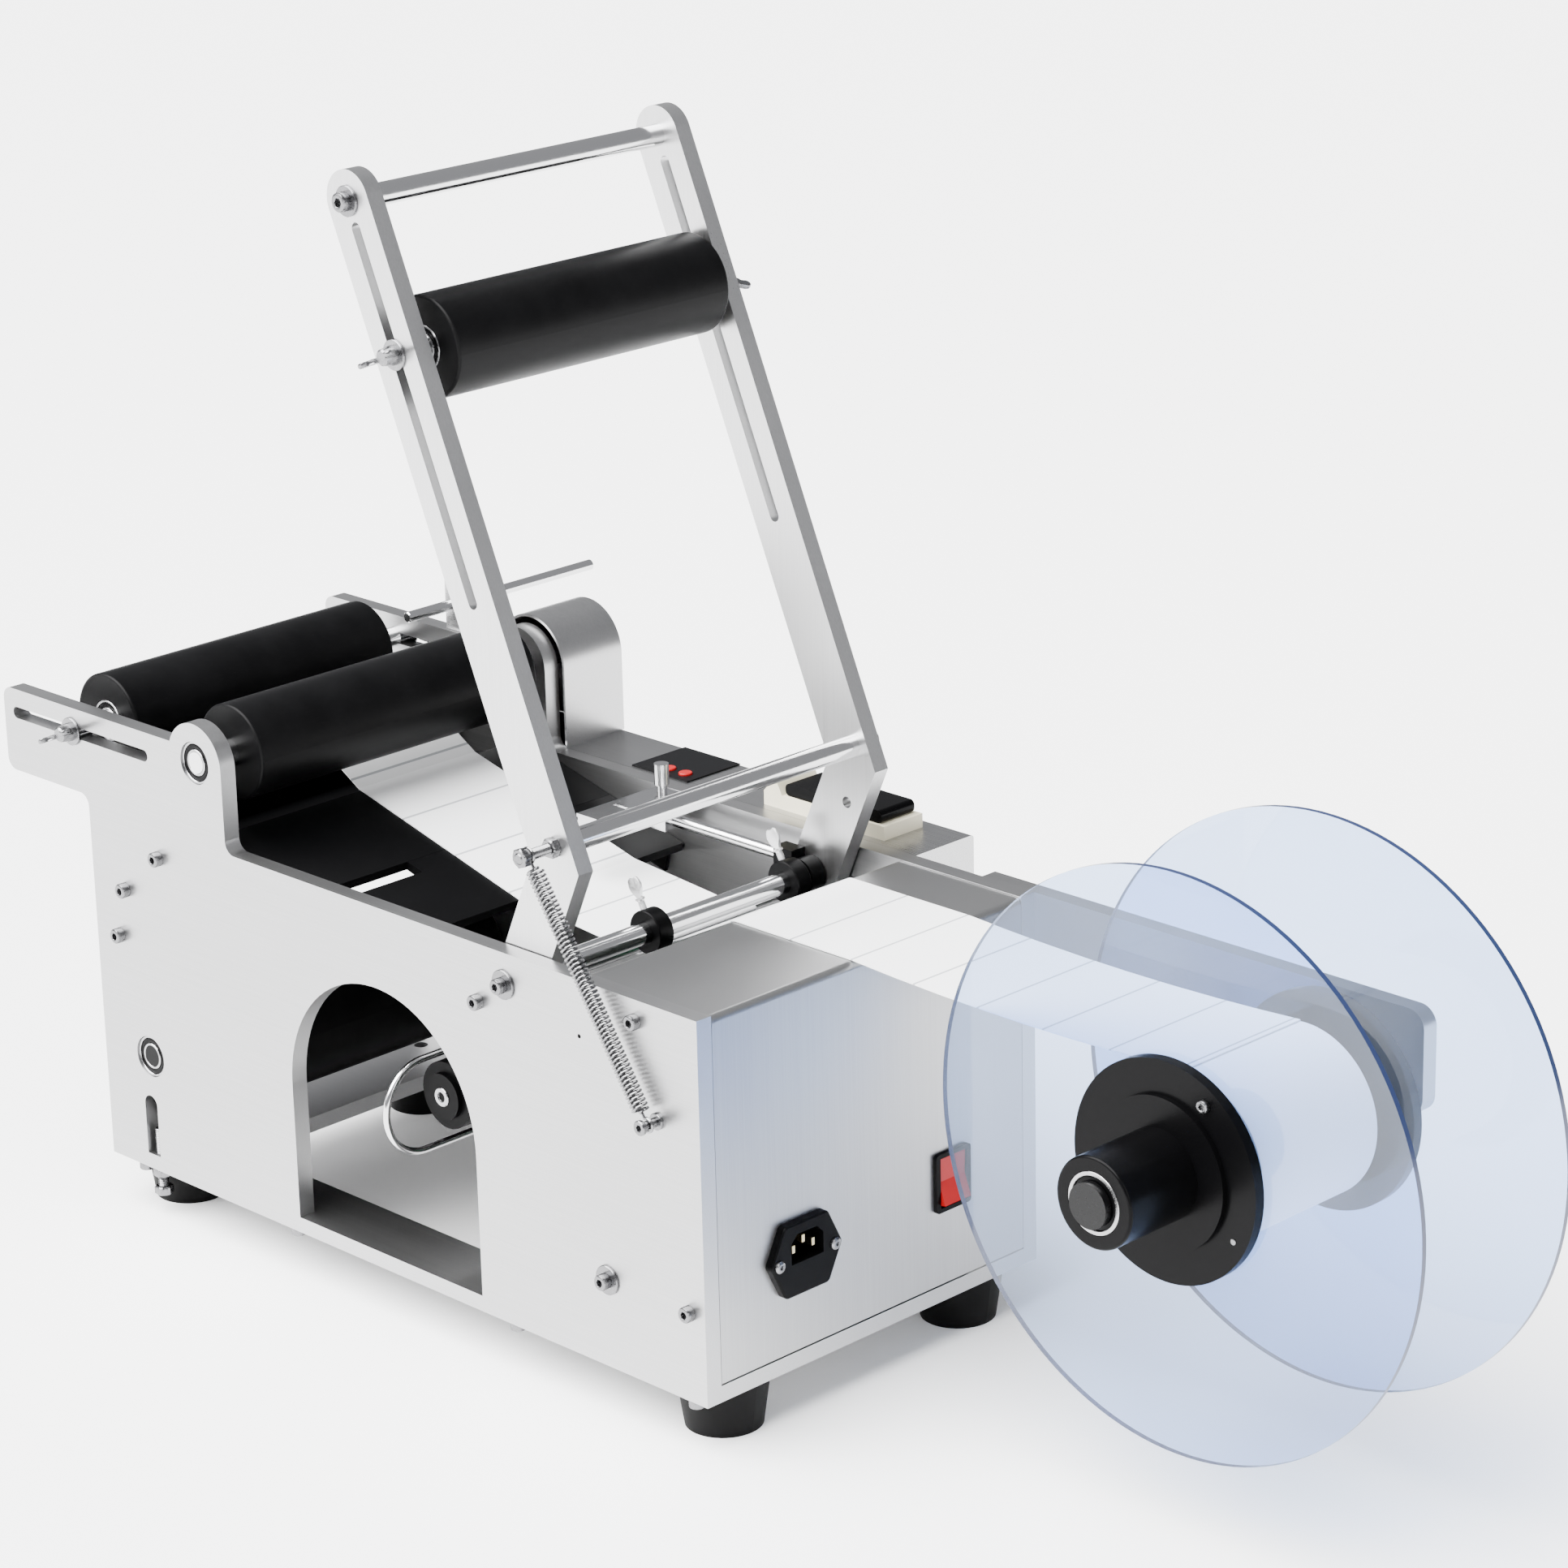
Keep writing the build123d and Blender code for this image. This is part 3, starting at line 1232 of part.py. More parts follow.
with BuildPart() as reel_bearings:
    with Locations(towards_y(reel_at, hub_near), towards_y(reel_at, hub_far - hub_bearing_width)):
        add(ring_bearing(hub_bearing_radius, spindle_radius + running_fit, hub_bearing_width))
save(reel_bearings.part, "reel_bearings")

with BuildPart() as reel_discs:
    for start in (near_disc_start, far_disc_start):
        y = near_face + start
        bar(reel_at, disc_radius, y, y + disc_thickness)
        bar(reel_at, hub_tube_radius + seat_fit, y, y + disc_thickness, mode=Mode.SUBTRACT)
save(reel_discs.part, "reel_discs")

with BuildPart() as label_roll:
    y = near_face + roll_start
    bar(reel_at, roll_radius, y, y + roll_length)
    bar(reel_at, hub_tube_radius + seat_fit, y, y + roll_length, mode=Mode.SUBTRACT)
save(label_roll.part, "label_roll")


def tangent_point(point, centre, radius, sign):
    """Where the straight line from a point touches a circle, on one side of it."""
    reach = centre - point
    half = math.asin(radius / reach.length)
    way = reach.rotate(Axis.Z, sign * math.degrees(half)).normalized()
    return point + way * math.sqrt(reach.length ** 2 - radius ** 2)


# Label web: from the roll over the end cover and under the guide bar to the peel edge
half_web = web_thickness / 2
lift = side_gap + half_web
peel_up = -peel_down
on_peel_left = peel_left + peel_up * lift - peel_way * 1.0
on_peel_right = peel_right + peel_up * lift
tongue_tip = on_peel_left + Vector(-tongue_length, tongue_rise)
under_bar = Vector(*guide_bar_at)
bar_bend = guide_bar_radius + lift
corner_radius = cover_bend_radius + cover_thickness / 2 + lift
corner = Vector(cover_left + corner_radius - lift, cover_top - corner_radius + lift)
to_bar = tangent_point(on_peel_right, under_bar, bar_bend, -1)
between = corner - under_bar
cross_angle = math.asin((bar_bend + corner_radius) / between.length)
cross_way = between.rotate(Axis.Z, math.degrees(cross_angle)).normalized()
cross_normal = Vector(-cross_way.Y, cross_way.X)
from_bar = under_bar - cross_normal * bar_bend
to_corner = corner + cross_normal * corner_radius
bar_low = under_bar + ((to_bar - under_bar) + (from_bar - under_bar)).normalized() * bar_bend
corner_top = corner + Vector(0, corner_radius)
corner_mid = corner + ((to_corner - corner) + (corner_top - corner)).normalized() * corner_radius
cover_right = Vector(end_x - 1.0, cover_top + lift)
roll_lean = math.radians(4.5)
roll_top = Vector(*reel_at) + Vector(-math.sin(roll_lean), math.cos(roll_lean)) * (roll_radius + lift)
sag_low = (cover_right + roll_top) * 0.5 - Vector(0, web_sag)
with BuildPart() as label_web:
    with BuildSketch(facing(near_face + roll_start)):
        with BuildLine():
            Line(tongue_tip, on_peel_left)
            Line(on_peel_left, on_peel_right)
            Line(on_peel_right, to_bar)
            ThreePointArc(to_bar, bar_low, from_bar)
            Line(from_bar, to_corner)
            ThreePointArc(to_corner, corner_mid, corner_top)
            Line(corner_top, cover_right)
            ThreePointArc(cover_right, sag_low, roll_top)
        trace(line_width=web_thickness)
    extrude(amount=-roll_length)
save(label_web.part, "label_web")
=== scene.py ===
import math

import bmesh
import bpy
from mathutils import Matrix, Vector


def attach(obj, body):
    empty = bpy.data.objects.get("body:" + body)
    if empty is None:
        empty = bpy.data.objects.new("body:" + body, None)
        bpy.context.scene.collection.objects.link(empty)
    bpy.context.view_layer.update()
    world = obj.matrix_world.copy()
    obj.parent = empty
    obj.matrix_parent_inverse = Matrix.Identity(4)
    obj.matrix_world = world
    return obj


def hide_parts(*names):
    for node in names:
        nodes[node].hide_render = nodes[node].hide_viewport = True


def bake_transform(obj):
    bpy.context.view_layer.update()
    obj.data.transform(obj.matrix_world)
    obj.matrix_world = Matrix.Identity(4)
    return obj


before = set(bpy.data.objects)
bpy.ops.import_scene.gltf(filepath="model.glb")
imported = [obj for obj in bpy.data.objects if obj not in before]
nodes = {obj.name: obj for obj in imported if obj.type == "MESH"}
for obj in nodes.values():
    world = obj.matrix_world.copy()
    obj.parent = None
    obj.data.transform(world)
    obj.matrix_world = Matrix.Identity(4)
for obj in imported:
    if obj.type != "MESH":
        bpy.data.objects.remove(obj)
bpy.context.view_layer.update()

MM = 0.001

# The same driving sizes as in the part's source, in millimetres
ear_reach = 560.4
reel_offset = 221.3
reel_up = 155.3
disc_radius = 149.0
stop_rod_reach = 340.0
wing_reach = 15.5
hub_nose_start = 42.0
plate_thickness = 10.0
outer_width = 245.0
base_top = 36.5
end_x = (ear_reach - reel_offset - disc_radius) / 2
near_face = (wing_reach - stop_rod_reach) / 2
far_face = near_face + outer_width

# Axes as distances back from the plates' right end and up from the base, in millimetres
front_place = (498.0, 240.9)
drive_place = (388.4, 246.5)
traction_place = (446.0, 60.3)
rewind_place = (244.8, 79.0)

# Printed labels on the web, in millimetres
LABEL_PITCH = 43.3
LABEL_START = 348.8
LABEL_GAP = 1.4

# How many times the materials' fine structures change per metre
BRUSH_ACROSS = 1500.0
BRUSH_ALONG = 9.0
TURNING_MARKS = (900.0, 260.0, 900.0)
PAPER_FIBRES = 500.0


def at(back, y, up):
    """A place in metres: back from the plates' right end, in from the near face, up from the base."""
    return Vector(((end_x - back) * MM, (near_face + y) * MM, (base_top + up) * MM))


# ---------------------------------------------------------------- camera
CAMERA_AT = at(-1593.8, -1501.8, 1069.9)
CAMERA_AZIMUTH = math.radians(45.51)
CAMERA_ELEVATION = math.radians(18.87)
CAMERA_ROLL = math.radians(-1.34)
FOCAL_PIXELS = 5939.8
FRAME_PIXELS = 1932.0

camera_data = bpy.data.cameras.new("camera")
camera = bpy.data.objects.new("camera", camera_data)
bpy.context.scene.collection.objects.link(camera)
bpy.context.scene.camera = camera
back = Vector((
    math.sin(CAMERA_AZIMUTH) * math.cos(CAMERA_ELEVATION),
    -math.cos(CAMERA_AZIMUTH) * math.cos(CAMERA_ELEVATION),
    math.sin(CAMERA_ELEVATION),
))
level = Vector((math.cos(CAMERA_AZIMUTH), math.sin(CAMERA_AZIMUTH), 0))
rise = back.cross(level)
right = level * math.cos(CAMERA_ROLL) + rise * math.sin(CAMERA_ROLL)
up = rise * math.cos(CAMERA_ROLL) - level * math.sin(CAMERA_ROLL)
rotation = Matrix((right, up, back)).transposed().to_4x4()
camera.matrix_world = Matrix.Translation(CAMERA_AT) @ rotation
camera_data.sensor_width = 36.0
camera_data.lens = FOCAL_PIXELS / FRAME_PIXELS * camera_data.sensor_width
camera_data.clip_end = 50.0


# ---------------------------------------------------------------- shader helpers
class Shader:
    """A small writer for one material's nodes."""

    def __init__(self, name):
        self.material = bpy.data.materials.new(name)
        self.material.use_nodes = True
        self.tree = self.material.node_tree
        self.tree.nodes.clear()
        self.out = self.tree.nodes.new("ShaderNodeOutputMaterial")
        self.coords = self.tree.nodes.new("ShaderNodeTexCoord")

    def node(self, kind, **values):
        """A new node; each value goes to the input or else the setting with its name."""
        made = self.tree.nodes.new(kind)
        for key, value in values.items():
            if key in made.inputs:
                made.inputs[key].default_value = value
            else:
                setattr(made, key, value)
        return made

    def link(self, source, target):
        self.tree.links.new(source, target)

    def principled(self, colour, metallic=0.0, roughness=0.5):
        shader = self.node("ShaderNodeBsdfPrincipled")
        shader.inputs["Base Color"].default_value = (*colour, 1.0)
        shader.inputs["Metallic"].default_value = metallic
        shader.inputs["Roughness"].default_value = roughness
        self.link(shader.outputs[0], self.out.inputs["Surface"])
        return shader

    def noise(self, stretch, scale=1.0, detail=2.0, rough=0.5):
        """Noise in object space: stretch holds how many times it changes per metre along X, Y and Z."""
        mapping = self.node("ShaderNodeMapping")
        mapping.inputs["Scale"].default_value = stretch
        self.link(self.coords.outputs["Object"], mapping.inputs["Vector"])
        noise = self.node("ShaderNodeTexNoise", Scale=scale, Detail=detail, Roughness=rough)
        self.link(mapping.outputs[0], noise.inputs["Vector"])
        return noise.outputs[0]

    def ramp(self, value, low, high, start=0.3, end=0.7):
        """A value between two numbers, following another value between start and end."""
        out = self.node("ShaderNodeMapRange", clamp=True)
        out.inputs["From Min"].default_value = start
        out.inputs["From Max"].default_value = end
        out.inputs["To Min"].default_value = low
        out.inputs["To Max"].default_value = high
        self.link(value, out.inputs["Value"])
        return out.outputs[0]

    def tint(self, value, dark, light, start=0.3, end=0.7):
        """A colour between two, following a value."""
        mix = self.node("ShaderNodeMix", data_type="RGBA")
        for socket in mix.inputs:
            if socket.type == "RGBA" and socket.name == "A":
                socket.default_value = (*dark, 1)
            if socket.type == "RGBA" and socket.name == "B":
                socket.default_value = (*light, 1)
        self.link(self.ramp(value, 0.0, 1.0, start, end), mix.inputs["Factor"])
        return [socket for socket in mix.outputs if socket.type == "RGBA"][0]

    def bump(self, shader, value, height, strength):
        """Relief as high as told, in metres, following a value."""
        made = self.node("ShaderNodeBump", Strength=strength, Distance=height)
        self.link(value, made.inputs["Height"])
        self.link(made.outputs[0], shader.inputs["Normal"])


def brushed(name, colour, along, roughness=0.3, depth=0.000006, spread=0.05, shade=0.05):
    """Brushed metal whose lines run along one axis."""
    made = Shader(name)
    shader = made.principled(colour, 1.0, roughness)
    fine = [BRUSH_ACROSS] * 3
    fine["XYZ".index(along)] = BRUSH_ALONG
    lines = made.noise(fine, detail=3.0, rough=0.65)
    cloud = made.noise((7.0, 7.0, 7.0), detail=1.0)
    dark = [c * (1 - shade) for c in colour]
    made.link(made.tint(lines, dark, colour), shader.inputs["Base Color"])
    mixed = made.node("ShaderNodeMath", operation="ADD")
    made.link(made.ramp(lines, -spread / 2, spread / 2), mixed.inputs[0])
    made.link(made.ramp(cloud, roughness - 0.03, roughness + 0.03), mixed.inputs[1])
    made.link(mixed.outputs[0], shader.inputs["Roughness"])
    made.bump(shader, lines, depth, 0.6)
    return made.material


def polished(name, colour, roughness=0.14, depth=0.000006):
    """Turned or ground bright steel."""
    made = Shader(name)
    shader = made.principled(colour, 1.0, roughness)
    rings = made.noise(TURNING_MARKS, detail=2.0)
    made.link(made.ramp(rings, roughness * 0.75, roughness * 1.35), shader.inputs["Roughness"])
    made.bump(shader, rings, depth, 0.4)
    return made.material


def rubber(name, colour, roughness=0.5, grain=0.00004, grain_scale=1600.0):
    """Fine-grained rubber."""
    made = Shader(name)
    shader = made.principled(colour, 0.0, roughness)
    shader.inputs["Specular IOR Level"].default_value = 0.07
    pores = made.noise((grain_scale,) * 3, detail=3.0, rough=0.6)
    dust = made.noise((22.0, 22.0, 22.0), detail=4.0, rough=0.6)
    dark = [c * 0.8 for c in colour]
    light = [c * 1.35 + 0.001 for c in colour]
    made.link(made.tint(dust, dark, light), shader.inputs["Base Color"])
    made.link(made.ramp(dust, roughness - 0.04, roughness + 0.05), shader.inputs["Roughness"])
    made.bump(shader, pores, grain, 0.5)
    return made.material


def plastic(name, colour, roughness=0.4, grain=0.000006, grain_scale=2200.0, coat=0.0, shine=0.5):
    """Moulded plastic with a fine grain."""
    made = Shader(name)
    shader = made.principled(colour, 0.0, roughness)
    shader.inputs["Specular IOR Level"].default_value = shine
    if coat:
        shader.inputs["Coat Weight"].default_value = coat
        shader.inputs["Coat Roughness"].default_value = 0.08
    pores = made.noise((grain_scale,) * 3, detail=2.0)
    cloud = made.noise((30.0, 30.0, 30.0), detail=2.0)
    dark = [c * 0.88 for c in colour]
    made.link(made.tint(cloud, dark, colour), shader.inputs["Base Color"])
    made.link(made.ramp(cloud, roughness - 0.01, roughness + 0.01), shader.inputs["Roughness"])
    made.bump(shader, pores, grain, 0.35)
    return made.material


def acrylic(name):
    """Clear sheet with a blue cast, and a dark blue colour painted on its edge faces as painted shade."""
    made = Shader(name)
    clear = made.node("ShaderNodeBsdfTransparent")
    clear.inputs["Color"].default_value = (0.66, 0.745, 0.90, 1)
    haze = made.node("ShaderNodeBsdfDiffuse")
    haze.inputs["Color"].default_value = (0.66, 0.76, 0.92, 1)
    gloss = made.node("ShaderNodeBsdfGlossy", Roughness=0.04)
    gloss.inputs["Color"].default_value = (1, 1, 1, 1)
    # Painted shade: the discs' edge faces get this dark blue colour instead of clear acrylic.
    rim = made.node("ShaderNodeBsdfPrincipled", Roughness=0.2)
    rim.inputs["Base Color"].default_value = (0.012, 0.02, 0.06, 1)
    cloud = made.noise((18.0, 18.0, 18.0), detail=2.0)
    body = made.node("ShaderNodeMixShader")
    made.link(made.ramp(cloud, 0.02, 0.035), body.inputs[0])
    made.link(clear.outputs[0], body.inputs[1])
    made.link(haze.outputs[0], body.inputs[2])
    fresnel = made.node("ShaderNodeFresnel", IOR=1.45)
    geometry = made.node("ShaderNodeNewGeometry")
    outer = made.node("ShaderNodeMath", operation="SUBTRACT")
    outer.inputs[0].default_value = 1.0
    made.link(geometry.outputs["Backfacing"], outer.inputs[1])
    sheen = made.node("ShaderNodeMath", operation="MULTIPLY")
    made.link(fresnel.outputs[0], sheen.inputs[0])
    made.link(outer.outputs[0], sheen.inputs[1])
    shiny = made.node("ShaderNodeMixShader")
    made.link(sheen.outputs[0], shiny.inputs[0])
    made.link(body.outputs[0], shiny.inputs[1])
    made.link(gloss.outputs[0], shiny.inputs[2])
    # Mask for the painted shade: faces that do not face along Y take the dark rim colour.
    parts = made.node("ShaderNodeSeparateXYZ")
    made.link(made.coords.outputs["Normal"], parts.inputs[0])
    size = made.node("ShaderNodeMath", operation="ABSOLUTE")
    made.link(parts.outputs["Y"], size.inputs[0])
    flat = made.node("ShaderNodeMath", operation="GREATER_THAN")
    flat.inputs[1].default_value = 0.5
    made.link(size.outputs[0], flat.inputs[0])
    whole = made.node("ShaderNodeMixShader")
    made.link(flat.outputs[0], whole.inputs[0])
    made.link(rim.outputs[0], whole.inputs[1])
    made.link(shiny.outputs[0], whole.inputs[2])
    made.link(whole.outputs[0], made.out.inputs["Surface"])
    return made.material


def paper(name, colour, lines=False):
    """Matt paper, with the thin gaps between labels where it is the web."""
    made = Shader(name)
    shader = made.principled(colour, 0.0, 0.55)
    fibres = made.noise((PAPER_FIBRES,) * 3, detail=4.0, rough=0.7)
    tone = made.tint(fibres, [c * 0.985 for c in colour], colour)
    if lines:
        parts = made.node("ShaderNodeSeparateXYZ")
        made.link(made.coords.outputs["Object"], parts.inputs[0])
        phase = made.node("ShaderNodeMath", operation="PINGPONG")
        phase.inputs[1].default_value = LABEL_PITCH * MM / 2
        along = made.node("ShaderNodeMath", operation="SUBTRACT")
        along.inputs[1].default_value = (end_x - LABEL_START) * MM
        made.link(parts.outputs["X"], along.inputs[0])
        made.link(along.outputs[0], phase.inputs[0])
        gap = made.node("ShaderNodeMath", operation="LESS_THAN")
        gap.inputs[1].default_value = LABEL_GAP * MM / 2
        made.link(phase.outputs[0], gap.inputs[0])
        mix = made.node("ShaderNodeMix", data_type="RGBA")
        made.link(gap.outputs[0], mix.inputs["Factor"])
        colour_in = [socket for socket in mix.inputs if socket.type == "RGBA"]
        made.link(tone, colour_in[0])
        colour_in[1].default_value = (colour[0] * 0.42, colour[1] * 0.43, colour[2] * 0.45, 1)
        tone = [socket for socket in mix.outputs if socket.type == "RGBA"][0]
    made.link(tone, shader.inputs["Base Color"])
    made.bump(shader, fibres, 0.00002, 0.3)
    return made.material


def two_tone(name, bright, black, split_y):
    """Ground steel whose end on the operator's side, nearer than a place, is a black cap."""
    made = Shader(name)
    metal = made.principled(bright, 1.0, 0.16)
    cap = made.node("ShaderNodeBsdfPrincipled", Roughness=0.25)
    cap.inputs["Base Color"].default_value = (*black, 1)
    rings = made.noise(TURNING_MARKS, detail=2.0)
    made.link(made.ramp(rings, 0.12, 0.22), metal.inputs["Roughness"])
    made.link(made.ramp(rings, 0.27, 0.30), cap.inputs["Roughness"])
    cap.inputs["Specular IOR Level"].default_value = 0.15
    parts = made.node("ShaderNodeSeparateXYZ")
    made.link(made.coords.outputs["Object"], parts.inputs[0])
    nearer = made.node("ShaderNodeMath", operation="LESS_THAN")
    nearer.inputs[1].default_value = split_y * MM
    made.link(parts.outputs["Y"], nearer.inputs[0])
    mix = made.node("ShaderNodeMixShader")
    made.link(nearer.outputs[0], mix.inputs[0])
    made.link(metal.outputs[0], mix.inputs[1])
    made.link(cap.outputs[0], mix.inputs[2])
    made.link(mix.outputs[0], made.out.inputs["Surface"])
    return made.material


plate_metal = brushed("plate_metal", (0.42, 0.42, 0.423), "X", 0.34, shade=0.10)
cover_metal = brushed("cover_metal", (0.38, 0.38, 0.382), "Z", 0.36, shade=0.10)
sheet_metal = brushed("sheet_metal", (0.44, 0.44, 0.443), "X", 0.30, shade=0.10)
arm_metal = brushed("arm_metal", (0.55, 0.55, 0.553), "Z", 0.32, shade=0.10)
bar_metal = polished("bar_metal", (0.66, 0.66, 0.665), 0.13)
screw_metal = polished("screw_metal", (0.17, 0.17, 0.175), 0.24)
wing_metal = polished("wing_metal", (0.20, 0.20, 0.205), 0.26)
thumb_metal = polished("thumb_metal", (0.78, 0.78, 0.785), 0.42)
spring_metal = polished("spring_metal", (0.22, 0.22, 0.225), 0.2)
bearing_metal = polished("bearing_metal", (0.34, 0.34, 0.345), 0.22)
black_rubber = rubber("black_rubber", (0.0014, 0.0014, 0.0016), 0.42)
foot_rubber = rubber("foot_rubber", (0.0025, 0.0025, 0.0026), 0.55)
black_enamel = plastic("black_enamel", (0.0016, 0.0016, 0.0018), 0.4, shine=0.05)
black_plastic = plastic("black_plastic", (0.0014, 0.0014, 0.0016), 0.26, shine=0.05)
overlay_film = plastic("overlay_film", (0.003, 0.003, 0.0034), 0.42, shine=0.1)
blue_acrylic = acrylic("blue_acrylic")
roll_paper = paper("roll_paper", (0.88, 0.89, 0.91))
web_paper = paper("web_paper", (0.90, 0.905, 0.91), lines=True)
red_plastic = plastic("red_plastic", (0.34, 0.004, 0.006), 0.3, coat=0.1, shine=0.2)
cream_plastic = plastic("cream_plastic", (0.74, 0.69, 0.52), 0.45)
green_board = plastic("green_board", (0.03, 0.16, 0.08), 0.4)
pin_metal = polished("pin_metal", (0.72, 0.60, 0.34), 0.2)
cap_end = near_face + hub_nose_start - 0.2
spindle_look = two_tone("spindle_look", (0.78, 0.78, 0.785), (0.0016, 0.0016, 0.0018), cap_end)


def dress(material, *names):
    """Give CAD nodes their material."""
    for name in names:
        mesh = nodes[name].data
        mesh.materials.clear()
        mesh.materials.append(material)


dress(plate_metal, "base_plate", "side_plate_near", "side_plate_far", "reel_arm")
dress(arm_metal, "arm_near", "arm_far")
dress(cover_metal, "end_cover")
dress(sheet_metal, "drive_box", "belt_cover", "power_supply")
dress(bar_metal, "pivot_shaft", "tie_bars", "arm_bars", "press_axle", "front_axle", "drive_shaft")
dress(bar_metal, "sensor_rail", "wire_clip", "sensor_bracket")
dress(spindle_look, "reel_spindle")
dress(screw_metal, "motor_pulley")
dress(black_rubber, "press_roller", "front_roller", "drive_roller", "traction_roller", "drive_belts")
dress(foot_rubber, "feet")
dress(black_enamel, "cross_plate", "set_rings", "motor", "rewind_spindle")
dress(black_plastic, "reel_hub", "power_inlet", "rocker_bezel", "counter_window")
dress(overlay_film, "control_overlay")
dress(blue_acrylic, "reel_discs")
dress(roll_paper, "label_roll")
dress(web_paper, "label_web")
dress(red_plastic, "rocker", "start_button", "reset_button")
dress(cream_plastic, "counter_base")
dress(green_board, "control_board")
dress(pin_metal, "inlet_pins")


# ---------------------------------------------------------------- shapes
def facing(place, y, away=False, turn=0.0):
    """Matrix from millimetres about local Z to the machine: Z points to the operator, or away."""
    tilt = Matrix.Rotation(math.radians(-90 if away else 90), 4, "X")
    spin = Matrix.Rotation(math.radians(turn), 4, "Z")
    return Matrix.Translation(at(place[0], y, place[1])) @ tilt @ spin @ Matrix.Scale(MM, 4)


def upright(place, height, down=False):
    """The same for a piece that stands at x and y, in millimetres, or hangs there."""
    tilt = Matrix.Rotation(math.pi if down else 0.0, 4, "X")
    return Matrix.Translation((place[0] * MM, place[1] * MM, height * MM)) @ tilt @ Matrix.Scale(MM, 4)


def hexagon(flats):
    """Radius of a hexagon at an angle, from its width across flats."""
    return lambda angle: flats / 2 / math.cos(angle % (math.pi / 3) - math.pi / 6)


def fluted(radius, depth, count):
    """Radius of a knurled rim at an angle."""
    return lambda angle: radius - depth * (0.5 - 0.5 * math.cos(angle * count))


def turned(mesh, frame_of, profile, segments=48, slot=0):
    """Revolve radii and heights about local Z; a radius may be a function of the angle."""
    rings = []
    for radius, height in profile:
        if radius == 0:
            rings.append([mesh.verts.new(frame_of @ Vector((0, 0, height)))])
            continue
        ring = []
        for k in range(segments):
            angle = math.tau * k / segments
            reach = radius(angle) if callable(radius) else radius
            corner = Vector((reach * math.cos(angle), reach * math.sin(angle), height))
            ring.append(mesh.verts.new(frame_of @ corner))
        rings.append(ring)
    for low, high in zip(rings, rings[1:]):
        for k in range(segments):
            n = (k + 1) % segments
            corners = (low[k % len(low)], low[n % len(low)], high[n % len(high)], high[k % len(high)])
            face = mesh.faces.new(list(dict.fromkeys(corners)))
            face.material_index = slot


def extruded(mesh, frame_of, outline, thickness, bevel=0.0, slot=0):
    """A flat outline in local X and Z, as thick as told along Y, with rounded edges."""
    half = thickness / 2
    before = set(mesh.faces)
    front = [mesh.verts.new(frame_of @ Vector((x, -half, z))) for x, z in outline]
    rear = [mesh.verts.new(frame_of @ Vector((x, half, z))) for x, z in outline]
    faces = [mesh.faces.new(front), mesh.faces.new(rear[::-1])]
    for k in range(len(outline)):
        n = (k + 1) % len(outline)
        faces.append(mesh.faces.new((front[k], rear[k], rear[n], front[n])))
    if bevel:
        edges = [edge for face in faces[:2] for edge in face.edges]
        bmesh.ops.bevel(mesh, geom=edges, offset=bevel * MM, segments=2, affect="EDGES", profile=0.5)
    for face in mesh.faces:
        if face not in before:
            face.material_index = slot


def bezier(start, control, end, steps=8):
    """Points of a quadratic curve, without its last one."""
    points = []
    for k in range(steps):
        t = k / steps
        points.append(tuple(
            (1 - t) ** 2 * a + 2 * t * (1 - t) * b + t * t * c for a, b, c in zip(start, control, end)
        ))
    return points


def wire(mesh, path, radius, sides=8):
    """A round wire along a path in metres, without twist."""
    rings = []
    normal = (path[1] - path[0]).orthogonal().normalized()
    for k, point in enumerate(path):
        ahead = (path[min(k + 1, len(path) - 1)] - path[max(k - 1, 0)]).normalized()
        normal = (normal - ahead * normal.dot(ahead)).normalized()
        across = ahead.cross(normal)
        ring = []
        for side in range(sides):
            angle = math.tau * side / sides
            spoke = normal * math.cos(angle) + across * math.sin(angle)
            ring.append(mesh.verts.new(point + spoke * radius))
        rings.append(ring)
    for low, high in zip(rings, rings[1:]):
        for side in range(sides):
            n = (side + 1) % sides
            mesh.faces.new((low[side], low[n], high[n], high[side]))
    mesh.faces.new(rings[0][::-1])
    mesh.faces.new(rings[-1])


def finished(mesh, name, body, materials, replaced=()):
    """Turn a mesh into a piece that rides on a body and stands for CAD nodes."""
    bmesh.ops.recalc_face_normals(mesh, faces=mesh.faces[:])
    data = bpy.data.meshes.new(name)
    mesh.to_mesh(data)
    mesh.free()
    data.shade_smooth()
    data.set_sharp_from_angle(angle=math.radians(35))
    for material in materials:
        data.materials.append(material)
    piece = bpy.data.objects.new(name, data)
    bpy.context.scene.collection.objects.link(piece)
    if body:
        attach(piece, body)
    if replaced:
        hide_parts(*replaced)
    return piece


# ---------------------------------------------------------------- fasteners
head_height = 5.0
washer_radius = 8.0
washer_thickness = 1.5
screw_radius = 2.5
stud_radius = 3.0
foot_height = 27.5
reel_arm_thickness = 10.0
inlet_flange = 5.0
bore_radius = 6.05
bearing_radius = 12.0
reel_bearing_radius = 16.0


def cap_screw(mesh, frame_of, radius, grip, washer=0.0, height=head_height):
    """Socket head cap screw with a knurled rim and a hexagon socket."""
    head = 1.7 * radius
    if washer:
        turned(mesh, frame_of, [
            (radius, 0), (washer_radius - 0.3, 0), (washer_radius, 0.3), (washer_radius, washer - 0.3),
            (washer_radius - 0.3, washer), (radius, washer),
        ])
    rim = fluted(head, 0.22, 24)
    key = hexagon(1.52 * radius)
    top = washer + height
    turned(mesh, frame_of, [
        (0, -grip), (radius - 0.3, -grip), (radius, 0.3 - grip), (radius, washer), (head - 0.3, washer),
        (rim, washer + 0.3), (rim, top - 0.7), (head - 0.35, top - 0.25), (head - 0.9, top),
        (0.95 * radius, top), (key, top - 0.25), (key, top - height / 2), (0, top - height / 2 - 0.4),
    ])


